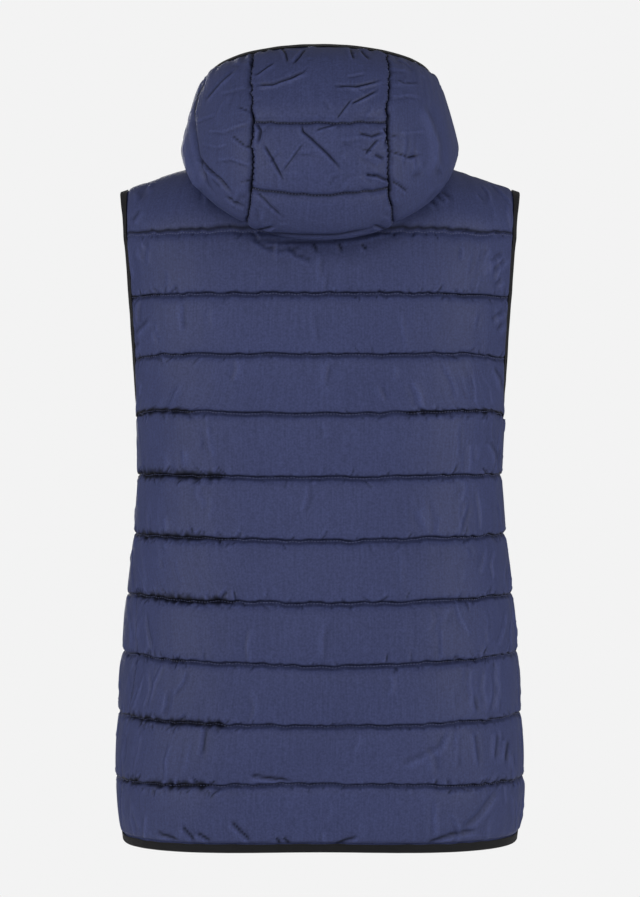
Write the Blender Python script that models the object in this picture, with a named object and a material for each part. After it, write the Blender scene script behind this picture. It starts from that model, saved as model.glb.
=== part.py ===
"""Hooded quilted vest in its worn form: an empty hollow, open at the neck, the armholes and the hem.

Frame: metres, +Z up, the front faces -Y, the back faces +Y, +X is the wearer's left.
The origin lies between the shoulders, at the height where the shoulder seams bear on the wearer.
Every cloth piece is a padded wall: a plain inside surface, and an outside raised between the stitch lines.
"""

import math

import bmesh
import bpy
import numpy as np
from mathutils import Matrix

# Cloth sizes
SEAM_THICKNESS = 0.003
BODY_PUFF = 0.0058
SIDE_PUFF_SHARE = 0.45
YOKE_PUFF = 0.0046
HOOD_PUFF = 0.0046
SEAM_GAP = 0.0003
CHANNEL_ROUNDNESS = 2.8
SEAM_RAMP = 0.016
SEAM_STEEPNESS = 0.6
EDGE_BAND = 0.008
BAND_RAMP = 0.020
NECK_RAMP = 0.060

# Torso: one row for each measured height, of the plain inside surface.
# Seam angles turn from the side to the back.
SECTION_ROUNDNESS = 2.35
SECTION_COLUMNS = ("height", "half_width", "back_depth", "front_depth", "seam_left", "seam_right")
SECTIONS = (
    (-0.670, 0.1905, 0.131, 0.132, 12.0, 8.0),
    (-0.600, 0.1970, 0.139, 0.136, 14.0, 9.0),
    (-0.530, 0.1945, 0.140, 0.134, 19.0, 11.0),
    (-0.470, 0.1910, 0.137, 0.130, 22.0, 11.0),
    (-0.412, 0.1860, 0.130, 0.125, 17.0, 8.0),
    (-0.355, 0.1795, 0.121, 0.121, 6.0, 4.0),
    (-0.295, 0.1760, 0.116, 0.122, 2.0, 2.0),
    (-0.231, 0.1785, 0.117, 0.127, 0.0, 0.0),
    (-0.178, 0.1875, 0.120, 0.128, 0.0, 0.0),
    (-0.121, 0.1945, 0.121, 0.122, 0.0, 0.0),
    (-0.060, 0.1985, 0.116, 0.108, 0.0, 0.0),
)

# Quilting: one row for each stitch line, with its height at the back's middle, the sides and the front edge.
LINE_COLUMNS = ("back", "side", "front")
QUILT_LINES = (
    (-0.6478, -0.6545, -0.6505),
    (-0.5840, -0.5920, -0.5880),
    (-0.5300, -0.5290, -0.5330),
    (-0.4740, -0.4690, -0.4760),
    (-0.4160, -0.4120, -0.4180),
    (-0.3570, -0.3530, -0.3600),
    (-0.2970, -0.2940, -0.3010),
    (-0.2360, -0.2310, -0.2420),
    (-0.1800, -0.1770, -0.1860),
    (-0.1220, -0.1210, -0.1330),
    (-0.0625, -0.0625, -0.0850),
)
UNDERARM_LINE = 7
CHANNEL_STEPS = (0.13, 0.50, 0.87, 1.0)
YOKE_STEPS = (0.13, 0.32, 0.52, 0.72, 0.88, 1.0)

# Panel columns, as shares of the way from the edge band to the middle of the back or to the zip band.
BACK_SHARES = (0.0, 0.08, 0.20, 0.33, 0.46, 0.60, 0.73, 0.87, 1.0)
FRONT_SHARES = (0.0, 0.09, 0.24, 0.40, 0.56, 0.73, 0.89, 1.0)
ROW_FADE = 0.30

# Armholes and shoulders
ARMHOLE_HALF_WIDTH = {"back": 0.050, "front": 0.052}
ARMHOLE_WIDEST = -0.120
ARMHOLE_SPREAD = 0.60
ARMHOLE_TOP_ROUNDNESS = 2.5
SHOULDER_TIP = (0.1970, 0.0, -0.0165)
SHOULDER_SPANS = 5
BACK_NECK_SPANS = 4
FRONT_NECK_SPANS = 4
YOKE_RISE = 0.55
YOKE_REACH = 0.50
YOKE_LEAST_RISE = 0.010
YOKE_LEAST_REACH = 0.004
NECK_RISE_ANGLE = 60.0
NECK_SEAM_TILT = 40.0

# Hood, let down behind the neck: one ring of the inside surface for each row, from the neck to the face edge.
# side_ is over the shoulder, back_ and front_ in the middle plane, strip is the centre panel's half width.
RING_COLUMNS = (
    "side_x",
    "side_y",
    "side_z",
    "back_y",
    "back_z",
    "front_x",
    "front_y",
    "front_z",
    "full",
    "strip",
)
HOOD_RINGS = (
    (0.0800, 0.000, 0.0205, 0.065, 0.020, 0.080, -0.086, -0.042, 1.00, 0.042),
    (0.0890, 0.004, 0.0440, 0.080, 0.050, 0.082, -0.088, -0.031, 1.00, 0.046),
    (0.1020, 0.012, 0.0560, 0.106, 0.050, 0.085, -0.090, -0.020, 0.90, 0.052),
    (0.1160, 0.024, 0.0430, 0.134, -0.012, 0.087, -0.092, -0.008, 0.80, 0.060),
    (0.1255, 0.030, 0.0280, 0.164, -0.066, 0.089, -0.094, 0.003, 0.75, 0.066),
    (0.1265, 0.030, 0.0295, 0.199, -0.0345, 0.090, -0.096, 0.014, 0.75, 0.060),
    (0.1205, 0.030, 0.0510, 0.204, 0.0285, 0.091, -0.097, 0.025, 0.75, 0.059),
    (0.1140, 0.027, 0.0770, 0.174, 0.084, 0.091, -0.098, 0.034, 0.80, 0.061),
    (0.1075, 0.022, 0.0930, 0.124, 0.111, 0.090, -0.098, 0.043, 0.90, 0.061),
)
HOOD_FRONT_FADE = 0.60
HOOD_FRONT_FALL = 1.50
HOOD_LINES = (3.3, 5.0, 6.0)
HOOD_PLAIN_RING = 4.0
HOOD_PLAIN_TURN = 60.0
HOOD_PLAIN_RAMP = 40.0
HOOD_LOWER_STEPS = (0.0, 0.5, 1.0, 1.35, 1.7, 2.0, 2.4, 2.7, 3.0)
HOOD_STEPS = HOOD_LOWER_STEPS + (3.3, 3.65, 4.0, 4.35, 4.7, 5.0, 5.15, 5.5, 5.85, 6.0)
HOOD_EDGE_SHARES = (0.10, 0.35, 0.60, 0.82, 1.0)
HOOD_COLUMNS_PER_STATION = 2
HOOD_BACK_TURNS = (11.25, 22.5, 33.75, 45.0, 50.0, 54.0)
STRIP_SPANS = 14
GATHER_DEPTH = 0.0016
GATHER_REACH = 1.0
HOOD_EDGE_SAMPLES = 61

# Hood side folds, left (1) and right (-1): share of the way across the panel, half width as a share, depth.
HOOD_FOLDS = {1: ((0.66, 0.05, 0.0045),), -1: ((0.70, 0.06, 0.0030),)}
FOLD_START_RING = 4.0
FOLD_START_RAMP = 0.6
FOLD_END_RAMP = 0.8

# Edge binding: a folded elastic band, 1 mm thick, that wraps a panel's edge
BINDING_WALL = 0.0010
BINDING_GAP = 0.0004
BINDING_COVER = 0.0072
BINDING_NOSE = 0.0007

# Front zip
ZIP_HALF_GAP = 0.0065
CHAIN_HALF_WIDTH = 0.0030
CHAIN_FRONT = 0.0014
TAPE_BACK = -0.0013
TAPE_INNER = 0.0033
SLIDER_HALF_WIDTH = 0.0052
SLIDER_HALF_LENGTH = 0.0065
SLIDER_PLATE = 0.0014
SLIDER_CLEAR = 0.0006
SLIDER_POST_HALF_WIDTH = 0.0010
SLIDER_POST_LENGTH = 0.0030
SLIDER_BELOW_EDGE = 0.0190
BRIDGE_HALF_WIDTH = 0.0009
BRIDGE_HALF_LENGTH = 0.0042
BRIDGE_BAR = 0.0010
BRIDGE_WINDOW = 0.0018
TAB_HALF_WIDTH = 0.0030
TAB_TAPER = 0.8
TAB_LENGTH = 0.0260
TAB_THICKNESS = 0.0012
TAB_WINDOW_HALF_WIDTH = 0.0013
TAB_WINDOW_LENGTH = 0.0046
TAB_PIN_RADIUS = 0.0006
TAB_PIN_BELOW = 0.0018
BOX_LENGTH = 0.0090
BOX_HALF_WIDTH = 0.0036

# Colours, as linear values
NAVY = (0.040, 0.050, 0.115)
BLACK = (0.014, 0.014, 0.018)
GUNMETAL = (0.050, 0.052, 0.060)


def column(table, names, name):
    """One named column of a table."""
    place = names.index(name)
    return np.array([row[place] for row in table], float)


def smooth_table(knots, values, at):
    """Values between the rows of a table, on cubic spans whose slopes run through the neighbouring rows."""
    knots = np.asarray(knots, float)
    values = np.asarray(values, float)
    at = np.asarray(at, float)
    slopes = np.gradient(values, knots, axis=0)
    span = np.clip(np.searchsorted(knots, at) - 1, 0, len(knots) - 2)
    width = knots[span + 1] - knots[span]
    t = np.clip((at - knots[span]) / width, 0, 1)
    tail = (1,) * (values.ndim - 1)
    t = t.reshape(t.shape + tail)
    width = width.reshape(width.shape + tail)
    start, end = values[span], values[span + 1]
    leave, arrive = slopes[span] * width, slopes[span + 1] * width
    return (
        start * (2 * t**3 - 3 * t**2 + 1)
        + leave * (t**3 - 2 * t**2 + t)
        + end * (3 * t**2 - 2 * t**3)
        + arrive * (t**3 - t**2)
    )


def smooth_step(value):
    """0 below 0, 1 above 1 and a soft ramp between."""
    value = np.clip(value, 0, 1)
    return value * value * (3 - 2 * value)


def unit(vectors):
    return vectors / np.linalg.norm(vectors, axis=-1, keepdims=True)


def section_value(name, height):
    heights = column(SECTIONS, SECTION_COLUMNS, "height")
    return smooth_table(heights, column(SECTIONS, SECTION_COLUMNS, name), height)


def torso_point(angle, height):
    """The inside surface at an angle about the vertical axis: 0 is the left side, a quarter turn the back."""
    cosine, sine = np.cos(angle), np.sin(angle)
    depth = np.where(sine >= 0, section_value("back_depth", height), section_value("front_depth", height))
    half_width = section_value("half_width", height)
    power = SECTION_ROUNDNESS
    radius = (np.abs(cosine / half_width) ** power + np.abs(sine / depth) ** power) ** (-1 / power)
    return np.stack([radius * cosine, radius * sine, height + 0 * angle], axis=-1)


def torso_normal(angle, height):
    """The outward direction of the inside surface."""
    step = 1e-3
    around = torso_point(angle + step, height) - torso_point(angle - step, height)
    upward = torso_point(angle, height + step) - torso_point(angle, height - step)
    return unit(np.cross(around, upward))


def ring_point(ring, turn):
    """A point of one hood ring: turn 0 is over the left shoulder, a quarter turn is the back."""
    side_x, side_y, side_z, back_y, back_z, front_x, front_y, front_z, full, _ = HOOD_RINGS[ring]
    cosine, sine = np.cos(turn), np.sin(turn)
    back = np.clip(sine, 0, 1)
    front = np.clip(-sine, 0, 1)
    collar = front**HOOD_FRONT_FADE
    x = cosine * (side_x + (front_x - side_x) * collar)
    y = side_y + (back_y - side_y) * back**full + (front_y - side_y) * front
    fall = front if ring == 0 else front**HOOD_FRONT_FALL
    z = side_z + (back_z - side_z) * back + (front_z - side_z) * fall
    return np.stack([x, y, z], axis=-1)


def neck_normal(turn):
    """The direction that the neck seam's edge faces, the same for the panels and for the hood."""
    side_x, _, _, back_y, _, _, front_y, _, _, _ = HOOD_RINGS[0]
    depth = np.where(np.sin(turn) >= 0, back_y, -front_y)
    flat = unit(np.stack([np.cos(turn) / side_x, np.sin(turn) / depth, 0 * turn], axis=-1))
    tilt = math.radians(NECK_SEAM_TILT)
    return flat * math.cos(tilt) + np.array([0, 0, math.sin(tilt)])


def neck_turns(face):
    """The turns of a half panel's neck stations, from the shoulder seam to its inner edge."""
    if face == "back":
        return np.linspace(0, math.pi / 2, BACK_NECK_SPANS + 1)
    radius = HOOD_RINGS[0][0]
    zip_edge = -(math.pi / 2 - ZIP_HALF_GAP / radius)
    band = zip_edge + EDGE_BAND / radius
    return np.concatenate([np.linspace(0, band, FRONT_NECK_SPANS), [zip_edge]])


def neck_line(turns):
    """(points, outward directions) on the straight spans between the neck stations of the panels."""
    left = np.concatenate([neck_turns("front")[:0:-1], neck_turns("back")])
    stations = np.concatenate([left, math.pi - left[-2::-1]])
    points, normals = ring_point(0, stations), neck_normal(stations)
    on_line = []
    for item in (points, normals):
        on_line.append(np.stack([np.interp(turns, stations, item[:, axis]) for axis in range(3)], axis=-1))
    return on_line[0], unit(on_line[1])


def line_heights(angle):
    """The height of each stitch line at an angle, with the top of the hem band put in after the hem."""
    back, side, front = (column(QUILT_LINES, LINE_COLUMNS, name) for name in LINE_COLUMNS)
    sine = np.sin(np.asarray(angle, float))[..., None]
    heights = side + np.where(sine >= 0, back - side, front - side) * sine**2
    return np.concatenate([heights[..., :1], heights[..., :1] + EDGE_BAND, heights[..., 1:]], axis=-1)


def torso_rows():
    """(line below, share of the way to the next line) for each grid row from the hem to the yoke line."""
    rows = [(0, 0.0), (0, 1.0)]
    for line in range(1, len(QUILT_LINES)):
        rows += [(line, step) for step in CHANNEL_STEPS]
    return rows


def row_height(row, angle):
    line, share = row
    heights = line_heights(angle)
    return heights[..., line] * (1 - share) + heights[..., line + 1] * share


def channel_profile(share):
    """How far the padding rises across a channel, from line to line, as a share of its height."""
    across = np.abs(2 * np.asarray(share, float) - 1)
    return (1 - across**CHANNEL_ROUNDNESS) ** (1 / CHANNEL_ROUNDNESS)


def armhole_edge(height, face):
    """(distance from the side line, height) of the armhole's edge for a row at this height."""
    low = QUILT_LINES[UNDERARM_LINE][LINE_COLUMNS.index("side")]
    half = ARMHOLE_HALF_WIDTH[face]
    share = (height - low) / (ARMHOLE_WIDEST - low)
    if share <= 1:
        turn = math.pi / 2 * share**ARMHOLE_SPREAD
        return half * math.sin(turn), ARMHOLE_WIDEST - (ARMHOLE_WIDEST - low) * math.cos(turn)
    power = ARMHOLE_TOP_ROUNDNESS
    rise = (height - ARMHOLE_WIDEST) / (SHOULDER_TIP[2] - ARMHOLE_WIDEST)
    return half * (1 - rise**power) ** (1 / power), height


def edge_line(side, face):
    """(angles, heights, number of side seam rows) of a half panel's outer edge: side seam, then armhole."""
    direction = 1 if face == "back" else -1
    name = "seam_left" if side > 0 else "seam_right"
    angles, heights, seam_rows = [], [], 0
    for row in torso_rows():
        height = float(row_height(row, 0.0))
        line, share = row
        if line + share <= UNDERARM_LINE + 1:
            radius = float(section_value("half_width", height))
            gap = direction * SEAM_GAP / 2 / radius
            angles.append(math.radians(float(section_value(name, height))) + gap)
            heights.append(height)
            seam_rows += 1
            continue
        reach, height = armhole_edge(height, face)
        depth = float(section_value(face + "_depth", height))
        half_width = float(section_value("half_width", height))
        x = half_width * (1 - (reach / depth) ** SECTION_ROUNDNESS) ** (1 / SECTION_ROUNDNESS)
        angles.append(direction * math.atan2(reach, x))
        heights.append(height)
    return np.array(angles), np.array(heights), seam_rows


def torso_grid(side, face):
    """Angles and heights of a half panel's grid, from its outer edge to its inner edge."""
    direction = 1 if face == "back" else -1
    edge_angle, edge_height, seam_rows = edge_line(side, face)
    radius = section_value("half_width", edge_height)
    along = np.gradient(np.stack([direction * edge_angle * radius, edge_height], axis=-1), axis=0)
    along = unit(along)
    inward = np.stack([along[:, 1], -along[:, 0]], axis=-1)
    inward[: seam_rows - 1] = (1, 0)
    angle_1 = edge_angle + direction * EDGE_BAND * inward[:, 0] / radius
    height_1 = edge_height + EDGE_BAND * inward[:, 1]
    if face == "back":
        shares = np.array(BACK_SHARES)
        last = np.full_like(edge_angle, math.pi / 2)
        columns = [edge_angle] + [angle_1 + (last - angle_1) * share for share in shares]
        fades = [1.0] + [max(0.0, 1 - share / ROW_FADE) ** 2 for share in shares]
    else:
        depth = section_value("front_depth", edge_height)
        zip_edge = -(math.pi / 2 - ZIP_HALF_GAP / depth)
        last = zip_edge + EDGE_BAND / depth
        shares = np.array(FRONT_SHARES)
        columns = [edge_angle] + [angle_1 + (last - angle_1) * share for share in shares] + [zip_edge]
        fades = [1.0] + [max(0.0, 1 - share / ROW_FADE) ** 2 for share in shares] + [0.0]
    angles = np.stack(columns, axis=-1)
    fades = np.array(fades)
    heights = np.stack([row_height(row, angles[i]) for i, row in enumerate(torso_rows())])
    heights = heights + (height_1 - heights[:, 1])[:, None] * fades
    heights[:, 0] = edge_height
    return angles, heights, seam_rows


def yoke_top(face):
    """(points, end directions, outward directions) along a half panel's top: shoulder seam, then neck."""
    toward = -1.0 if face == "back" else 1.0
    tip = np.array(SHOULDER_TIP)
    neck = ring_point(0, np.array(0.0))
    length = np.linalg.norm(neck - tip)
    slope = unit(neck - tip)
    reach = np.concatenate([[0, EDGE_BAND], np.linspace(EDGE_BAND, length, SHOULDER_SPANS)[1:]])
    shoulder = tip + slope * reach[:, None]
    turns = neck_turns(face)[1:]
    points = np.concatenate([shoulder, ring_point(0, turns)])
    rise = math.radians(NECK_RISE_ANGLE)
    level = neck_normal(turns) * np.array([1, 1, 0])
    neck_ends = -unit(level) * math.cos(rise) + np.array([0, 0, math.sin(rise)])
    shoulder_ends = np.tile([0, toward, 0.0], (len(shoulder), 1))
    ends = np.concatenate([shoulder_ends, neck_ends])
    ends[SHOULDER_SPANS] = unit(ends[SHOULDER_SPANS] + np.array([-math.cos(rise), 0, math.sin(rise)]))
    shoulder_out = np.tile(unit(np.cross(slope, [0, -1.0, 0])), (len(shoulder), 1))
    shoulder_out[-1] = neck_normal(np.array(0.0))
    out = np.concatenate([shoulder_out, neck_normal(turns)])
    return points - ends * SEAM_GAP / 2, ends, out


def yoke_rows(start, face):
    """Rows from the yoke line over the shoulder to its seam and the neck, with the top row's directions."""
    top, ends, out = yoke_top(face)
    rise = np.maximum(top[:, 2] - start[:, 2], YOKE_LEAST_RISE)[:, None] * YOKE_RISE
    reach = np.linalg.norm((top - start)[:, :2], axis=-1)[:, None] * YOKE_REACH + YOKE_LEAST_REACH
    first = start + np.array([0, 0, 1.0]) * rise
    second = top - ends * reach
    rows = []
    for t in YOKE_STEPS:
        low = (1 - t) ** 3 * start + 3 * t * (1 - t) ** 2 * first
        rows.append(low + 3 * t**2 * (1 - t) * second + t**3 * top)
    return np.stack(rows), out


def distance_to_line(points, line):
    """The distance from each grid point to the nearest point of a line, which is cut fine."""
    fine = np.concatenate([line[:-1] + (line[1:] - line[:-1]) * share for share in (0, 0.25, 0.5, 0.75)])
    fine = np.concatenate([fine, line[-1:]])
    return np.min(np.linalg.norm(points[..., None, :] - fine, axis=-1), axis=-1)


def half_panel(side, face):
    """A half panel's inside points, outward directions and wall thickness, as rows from the hem up."""
    angles, heights, seam_rows = torso_grid(side, face)
    torso = torso_point(angles, heights)
    yoke, top_out = yoke_rows(torso[-1], face)
    points = np.concatenate([torso, yoke])
    turn = 1 if face == "back" else -1
    normals = turn * unit(np.cross(np.gradient(points, axis=1), np.gradient(points, axis=0)))
    normals[: len(torso)] = torso_normal(angles, heights)
    normals[-1] = top_out
    if face == "back":
        normals[:, -1, 0] = 0
        normals = unit(normals)
    shares = [0.0, 0.0] + list(CHANNEL_STEPS) * (len(QUILT_LINES) - 1) + list(YOKE_STEPS)
    puffs = np.full(len(points), BODY_PUFF)
    puffs[len(torso) :] = YOKE_PUFF
    turned = np.abs(normals[..., 1]) ** 2
    rise = (channel_profile(shares) * puffs)[:, None] * (SIDE_PUFF_SHARE + (1 - SIDE_PUFF_SHARE) * turned)
    seam = smooth_step(distance_to_line(points, points[:seam_rows, 0]) / SEAM_RAMP) ** SEAM_STEEPNESS
    armhole = distance_to_line(points, points[seam_rows - 1 :, 0])
    edge = np.minimum(seam, smooth_step((armhole - EDGE_BAND + SEAM_GAP) / BAND_RAMP))
    edge[: seam_rows - 1, 0] = 0
    if face == "front":
        zip_edge = distance_to_line(points, points[:, -1])
        edge = np.minimum(edge, smooth_step((zip_edge - EDGE_BAND + SEAM_GAP) / BAND_RAMP))
    edge = np.minimum(edge, smooth_step(distance_to_line(points, points[-1, SHOULDER_SPANS:]) / NECK_RAMP))
    thickness = SEAM_THICKNESS + rise * edge
    mirror = np.array([side, 1, 1])
    return {
        "points": points * mirror,
        "normals": normals * mirror,
        "thickness": thickness,
        "seam_rows": seam_rows,
    }


def hood_limits(ring):
    """The turns of the zip edge, the zip band and the strip seam on one ring."""
    row = dict(zip(RING_COLUMNS, HOOD_RINGS[ring]))
    zip_turn = -(math.pi / 2 - ZIP_HALF_GAP / row["front_x"])
    return zip_turn, zip_turn + EDGE_BAND / row["front_x"], math.acos(row["strip"] / row["side_x"])


def hood_side_shares():
    """Side panel columns as shares of the way from zip band to strip seam, meeting the neck stations."""
    _, band, seam = hood_limits(0)
    front = np.linspace(band, 0, HOOD_COLUMNS_PER_STATION * (FRONT_NECK_SPANS - 1) + 1)
    turns = np.concatenate([front, np.radians(HOOD_BACK_TURNS), [seam]])
    return (turns - band) / (seam - band)


def hood_turns(ring):
    """The turn of each hood column on one ring, from the left zip edge round the back to the right one."""
    zip_turn, band_turn, seam_turn = hood_limits(ring)
    left = np.concatenate([[zip_turn], band_turn + (seam_turn - band_turn) * hood_side_shares()])
    strip = np.linspace(seam_turn, math.pi - seam_turn, STRIP_SPANS + 1)
    return np.concatenate([left, strip[1:-1], math.pi - left[::-1]])


def hood_grid():
    """The hood's inside points, outward directions and steps, as rows from the neck seam to the face edge."""
    rings = np.stack([ring_point(ring, hood_turns(ring)) for ring in range(len(HOOD_RINGS))])
    rings[0] = neck_line(hood_turns(0))[0]
    knots = np.arange(len(HOOD_RINGS))
    lower = smooth_table(knots, rings, np.array(HOOD_STEPS))
    fine_steps = np.linspace(HOOD_STEPS[-1], knots[-1], HOOD_EDGE_SAMPLES)
    fine = smooth_table(knots, rings, fine_steps)
    run = np.cumsum(np.linalg.norm(np.diff(fine, axis=0), axis=-1), axis=0)
    run = np.concatenate([0 * run[:1], run])
    wanted = np.array(HOOD_EDGE_SHARES)[:, None] * (run[-1] - EDGE_BAND)
    upper = np.empty((len(wanted) + 1,) + lower.shape[1:])
    for j in range(lower.shape[1]):
        for axis in range(3):
            upper[:-1, j, axis] = np.interp(wanted[:, j], run[:, j], fine[:, j, axis])
    upper[-1] = rings[-1]
    points = np.concatenate([lower, upper])
    normals = unit(np.cross(np.gradient(points, axis=1), np.gradient(points, axis=0)))
    normals[0] = neck_line(hood_turns(0))[1]
    points[0] += unit(points[1] - points[0]) * SEAM_GAP / 2
    top = knots[-1] - HOOD_STEPS[-1]
    steps = np.concatenate([HOOD_STEPS, HOOD_STEPS[-1] + top * np.array(HOOD_EDGE_SHARES), [knots[-1] + 1]])
    return points, normals, steps


def hood_rise(points, steps, first, last, side):
    """Wall thickness over a run of hood columns: side 0 is the centre strip, with stitch lines across it."""
    part = points[:, first : last + 1]
    end = steps[-2]
    if side == 0:
        lines = np.array(HOOD_LINES + (end,))
        place = np.clip(np.searchsorted(lines, steps, side="right") - 1, 0, len(lines) - 2)
        along = (steps - lines[place]) / (lines[place + 1] - lines[place])
        along = along[:, None] + np.zeros(part.shape[1])
    else:
        turns = hood_turns(0)[first : last + 1]
        turns = turns if side > 0 else math.pi - turns
        hung = smooth_step((np.degrees(turns) + HOOD_PLAIN_TURN) / HOOD_PLAIN_RAMP)
        start = HOOD_PLAIN_RING * hung
        along = (steps[:, None] - start) / (end - start)
    along = channel_profile(np.clip(along, 0, 1))
    left = distance_to_line(part, part[:, 0]) if side < 1 else np.full(part.shape[:2], 1.0)
    right = distance_to_line(part, part[:, -1]) if side > -1 else np.full(part.shape[:2], 1.0)
    edge = smooth_step(np.minimum(left, right) / SEAM_RAMP) ** SEAM_STEEPNESS
    if side != 0:
        zip_edge = part[:, 0] if side > 0 else part[:, -1]
        edge = np.minimum(edge, smooth_step((distance_to_line(part, zip_edge) - EDGE_BAND) / BAND_RAMP))
    rise = HOOD_PUFF * along * edge
    near_edge = smooth_step(1 - (end - steps) / GATHER_REACH) * (steps < end)
    wave = (np.arange(part.shape[1]) % 2)[None, :] * near_edge[:, None]
    rise = rise + GATHER_DEPTH * wave * np.minimum(1, edge)
    if side != 0:
        shares = np.concatenate([[0.0], hood_side_shares()])
        shares = shares if side > 0 else shares[::-1]
        hanging = smooth_step((steps - FOLD_START_RING) / FOLD_START_RAMP)
        hanging = hanging * smooth_step((end - steps) / FOLD_END_RAMP)
        for share, half_width, depth in HOOD_FOLDS[side]:
            trough = np.exp(-(((shares - share) / half_width) ** 2))
            rise = rise - depth * hanging[:, None] * trough[None, :] * edge
    return SEAM_THICKNESS + np.maximum(rise, -SEAM_THICKNESS / 3)


def wall_mesh(name, points, normals, thickness, turned=0):
    """A closed wall from a grid: the plain inside, the raised outside and the four rims.

    The faces of the first columns, as many as turned says, are split the other way: left mirrors right.
    """
    rows, columns = points.shape[:2]
    raised = points + normals * thickness[..., None]
    vertices = np.concatenate([points.reshape(-1, 3), raised.reshape(-1, 3)])
    index = np.arange(rows * columns).reshape(rows, columns)
    outer = index + rows * columns
    faces = []
    for i in range(rows - 1):
        for j in range(columns - 1):
            corners = ((i, j), (i, j + 1), (i + 1, j + 1), (i + 1, j))
            inside = [index[corner] for corner in corners[::-1]]
            outside = [outer[corner] for corner in corners]
            for quad in (inside, outside):
                faces.append(quad[1:] + quad[:1] if j < turned else quad)
    for line, cover, split in (
        (index[0], outer[0], turned),
        (index[-1], outer[-1], turned),
        (index[:, 0], outer[:, 0], 0),
        (index[:, -1], outer[:, -1], 0),
    ):
        for k in range(len(line) - 1):
            quad = [line[k], line[k + 1], cover[k + 1], cover[k]]
            quad = quad[1:] + quad[:1] if k < split else quad
            faces.append([quad[0], quad[1], quad[2]])
            faces.append([quad[0], quad[2], quad[3]])
    return closed_mesh(name, vertices, faces)


def closed_mesh(name, vertices, faces):
    """A mesh with its faces turned outwards."""
    mesh = bpy.data.meshes.new(name)
    mesh.from_pydata([tuple(v) for v in vertices], [], [[int(i) for i in face] for face in faces])
    shape = bmesh.new()
    shape.from_mesh(mesh)
    bmesh.ops.recalc_face_normals(shape, faces=shape.faces)
    shape.to_mesh(mesh)
    shape.free()
    return mesh


def swept_mesh(name, sections, looped=False, turned=0):
    """A closed solid through cross-sections of the same number of points, split as wall_mesh splits."""
    count, sides = sections.shape[:2]
    index = np.arange(count * sides).reshape(count, sides)
    faces = []
    for i in range(count if looped else count - 1):
        here, there = index[i], index[(i + 1) % count]
        for j in range(sides):
            k = (j + 1) % sides
            quad = [here[j], here[k], there[k], there[j]]
            faces.append(quad[1:] + quad[:1] if i < turned else quad)
    if not looped:
        faces.append(list(index[0][::-1]))
        faces.append(list(index[-1]))
    return closed_mesh(name, sections.reshape(-1, 3), faces)


def binding_sections(edge, inward, normals):
    """U-shaped sections that wrap a panel's edge: outward from the edge, and along its outward direction."""
    gap, wall, nose = BINDING_GAP, BINDING_WALL, BINDING_NOSE
    low, high = -gap - wall, SEAM_THICKNESS + gap + wall
    front = gap + wall
    outline = (
        (-BINDING_COVER, low),
        (front - nose, low),
        (front, low + nose),
        (front, high - nose),
        (front - nose, high),
        (-BINDING_COVER, high),
        (-BINDING_COVER, high - wall),
        (gap, high - wall),
        (gap, low + wall),
        (-BINDING_COVER, low + wall),
    )
    out = np.array([point[0] for point in outline])[None, :, None]
    up = np.array([point[1] for point in outline])[None, :, None]
    return edge[:, None, :] - inward[:, None, :] * out + normals[:, None, :] * up


def square_out(inward, normals):
    """Outward directions made square to the inward ones, so that a binding lies flat on the edge band."""
    return unit(normals - inward * np.sum(inward * normals, axis=-1, keepdims=True))


def armhole_binding(name, back, front):
    """A looped binding from the underarm up the back edge, over the shoulder and down the front edge."""
    start = back["seam_rows"] - 1
    parts = []
    for panel in (back, front):
        edge = panel["points"][start:, 0]
        inward = panel["points"][start:, 1] - edge
        normals = panel["normals"][start:, 0]
        parts.append((edge, unit(inward), normals))
    edge = np.concatenate([parts[0][0], parts[1][0][-2:0:-1]])
    inward = np.concatenate([parts[0][1], parts[1][1][-2:0:-1]])
    normals = np.concatenate([parts[0][2], parts[1][2][-2:0:-1]])
    inward[0] = unit(back["points"][start - 1, 0] - edge[0])
    top = len(parts[0][0]) - 1
    edge[top, 1] = 0
    return swept_mesh(name, binding_sections(edge, inward, square_out(inward, normals)), looped=True)


def hem_binding(name, panels):
    """A binding along the whole hem, from the left zip edge round the back to the right zip edge."""
    left, back, right = panels
    rows = []
    for row in (0, 1):
        rows.append(
            np.concatenate([left["points"][row, ::-1], back["points"][row, 1:-1], right["points"][row]])
        )
    normals = np.concatenate([left["normals"][0, ::-1], back["normals"][0, 1:-1], right["normals"][0]])
    inward = unit(rows[1] - rows[0])
    return swept_mesh(name, binding_sections(rows[0], inward, square_out(inward, normals)))


def hood_binding(name, points, normals):
    """A binding along the face edge of the hood, from zip edge to zip edge."""
    inward = unit(points[-2] - points[-1])
    sections = binding_sections(points[-1], inward, square_out(inward, normals[-1]))
    return swept_mesh(name, sections, turned=len(sections) // 2)


def zip_line(front, points, normals):
    """Edge points, band points and outward directions beside the left of the zip, from hem to face edge."""
    edge = np.concatenate([front["points"][:, -1], points[1:, 0]])
    band = np.concatenate([front["points"][:, -2], points[1:, 1]])
    out = np.concatenate([front["normals"][:, -1], normals[1:, 0]])
    band_out = np.concatenate([front["normals"][:, -2], normals[1:, 1]])
    return edge, band, out, band_out


def zip_tape_sections(edge, band, out, band_out, side):
    """Flat tape sections on the inside of the front edges, clear of the hem and hood bindings."""
    inner = edge.copy()
    inner[:, 0] = TAPE_INNER
    sections = np.stack(
        [
            inner + out * TAPE_BACK,
            band + band_out * TAPE_BACK,
            band - band_out * SEAM_GAP,
            inner - out * SEAM_GAP,
        ],
        axis=1,
    )
    return sections[1:-1] * np.array([side, 1, 1])


def middle_line(edge, out):
    """The zip's middle line in the plane between the fronts, with its outward directions."""
    flat = np.array([0, 1, 1])
    return edge * flat, unit(out * flat)


def chain_sections(line, out):
    """Rectangular sections of the closed chain."""
    wide = np.array([CHAIN_HALF_WIDTH, 0, 0])
    low, high = line + out * TAPE_BACK, line + out * CHAIN_FRONT
    return np.stack([low - wide, low + wide, high + wide, high - wide], axis=1)


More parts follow.
